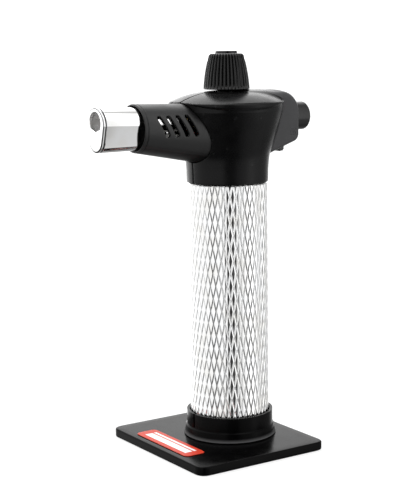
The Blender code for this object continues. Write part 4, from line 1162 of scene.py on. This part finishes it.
build_plate()
build_collar()
label = slab(label_low, label_high, 2.6 * MM, 8, 0.12 * MM, 3, 0.6 * MM)
add_object("label", label, "label_red", "stand_label", "stand")
build_screws()
build_grip()
build_shells()
build_barrel()
build_flame_tube()
build_burner()
build_knob()
build_button()
build_lever()
build_spring("button_spring", "piezo_spring", 0, BUTTON_Z, *mm(2.2, 0.3), "button_press", 5.5 * MM, True)
build_spring("refill_spring", "fill_valve_spring", 2, 0.0, *mm(1.8, 0.25), "fill_press", 1.5 * MM, False)

# CAD nodes that stay get the finish of their record slot.
slots = {row["node"]: row["material_slot"] for row in frame["record"]["subparts"]}
for name, node in frame["nodes"].items():
    node.data.materials.clear()
    node.data.materials.append(LOOKS[slots[name]])


# ---- floor, light and camera

CAMERA_LENS = 97.3
CAMERA_PLACE = (-0.34433, -0.49991, 0.18903)
CAMERA_TURNS = ((-33.78, "Z"), (80.68, "X"), (-0.70, "Z"))
CAMERA_SIDE = (-0.567, -0.823)
# Brightness by bearing, from straight behind the object (0) round past the camera (0.5) and back (1).
WALLS = (
    (0.0, 1.15), (0.07, 1.0), (0.16, 0.75), (0.22, 0.6), (0.3, 0.54), (0.47, 0.56), (0.49, 0.02),
    (0.555, 0.02), (0.58, 0.36), (0.65, 0.55), (0.69, 1.0), (0.73, 0.6), (0.78, 0.34), (0.86, 0.15),
    (0.93, 0.5), (1.0, 1.15),
)
GROUND = (
    (0.0, 0.18), (0.3, 0.08), (0.5, 0.015), (0.58, 0.03), (0.65, 0.3), (0.74, 0.33), (0.82, 0.12),
    (1.0, 0.15),
)


def build_stage():
    """White floor under the object, a little brighter to the camera than to the object."""
    far = 6.0
    mesh = bpy.data.meshes.new("floor")
    mesh.from_pydata([(-far, -far, 0), (far, -far, 0), (far, far, 0), (-far, far, 0)], [], [(0, 1, 2, 3)])
    floor = new_object("floor", mesh)
    floor.location = (0, 0, -0.02 * MM)
    made, tree, shader = material_of("floor_white")
    seen = add_node(tree, "LightPath").outputs["Is Camera Ray"]
    feed(tree, shader, {
        "Base Color": (0.42, 0.42, 0.42), "Roughness": spread(tree, noise(tree, 3.0), 0.0, 1.0, 0.9, 0.95),
        "Specular IOR Level": 0.0, "Emission Color": (1, 1, 1),
        "Emission Strength": maths(tree, "MULTIPLY", seen, 0.66),
    })
    mesh.materials.append(made)
    floor.visible_glossy = False


def ramp(tree, value, stops):
    """Piecewise value over 0..1."""
    node = add_node(tree, "ValToRGB", {"Fac": value})
    points = node.color_ramp.elements
    while len(points) < len(stops):
        points.new(0.5)
    for point, (place, level) in zip(points, stops):
        point.position = place
        point.color = (level, level, level, 1)
    return node.outputs["Color"]


def build_world():
    """Studio walls by bearing and height: softboxes round and over it, and a dark gap at the camera."""
    world = bpy.data.worlds.new("studio")
    bpy.context.scene.world = world
    world.use_nodes = True
    tree = world.node_tree
    spot = add_node(tree, "TexCoord").outputs["Generated"]
    parts = add_node(tree, "SeparateXYZ", {"Vector": spot}).outputs

    def along(x, y):
        return maths(tree, "ADD", *(maths(tree, "MULTIPLY", parts[a], b) for a, b in (("X", x), ("Y", y))))

    toward = Vector(CAMERA_SIDE).normalized()
    angle = maths(tree, "ARCTAN2", along(-toward.y, toward.x), along(toward.x, toward.y))
    bearing = spread(tree, angle, -pi, pi)
    height = spread(tree, parts["Z"], -1.0, 1.0)
    share = ramp(tree, height, ((0.27, 0.0), (0.35, 1.0)))
    by_height = ramp(tree, height, ((0.75, 0.5), (0.93, 0.75)))
    wall = maths(tree, "MULTIPLY", ramp(tree, bearing, WALLS), by_height)
    high = maths(tree, "MULTIPLY", wall, maths(tree, "MULTIPLY", share, 2.0))
    low = maths(tree, "MULTIPLY", ramp(tree, bearing, GROUND), maths(tree, "SUBTRACT", 1.0, share))
    level = maths(tree, "MULTIPLY", maths(tree, "ADD", low, high), 2.0)
    seen = add_node(tree, "LightPath").outputs["Is Camera Ray"]
    level = maths(tree, "MAXIMUM", level, seen)
    feed(tree, tree.nodes["Background"], {"Strength": level, "Color": (1, 1, 1)})


def build_camera():
    data = bpy.data.cameras.new("camera")
    data.lens = CAMERA_LENS
    data.clip_start = 0.01
    camera = new_object("camera", data)
    place = Matrix.Translation(CAMERA_PLACE)
    for degrees, axis in CAMERA_TURNS:
        place = place @ Matrix.Rotation(radians(degrees), 4, axis)
    camera.matrix_world = place
    bpy.context.scene.camera = camera


build_stage()
build_world()
build_camera()
bpy.context.scene.view_settings.view_transform = "Standard"
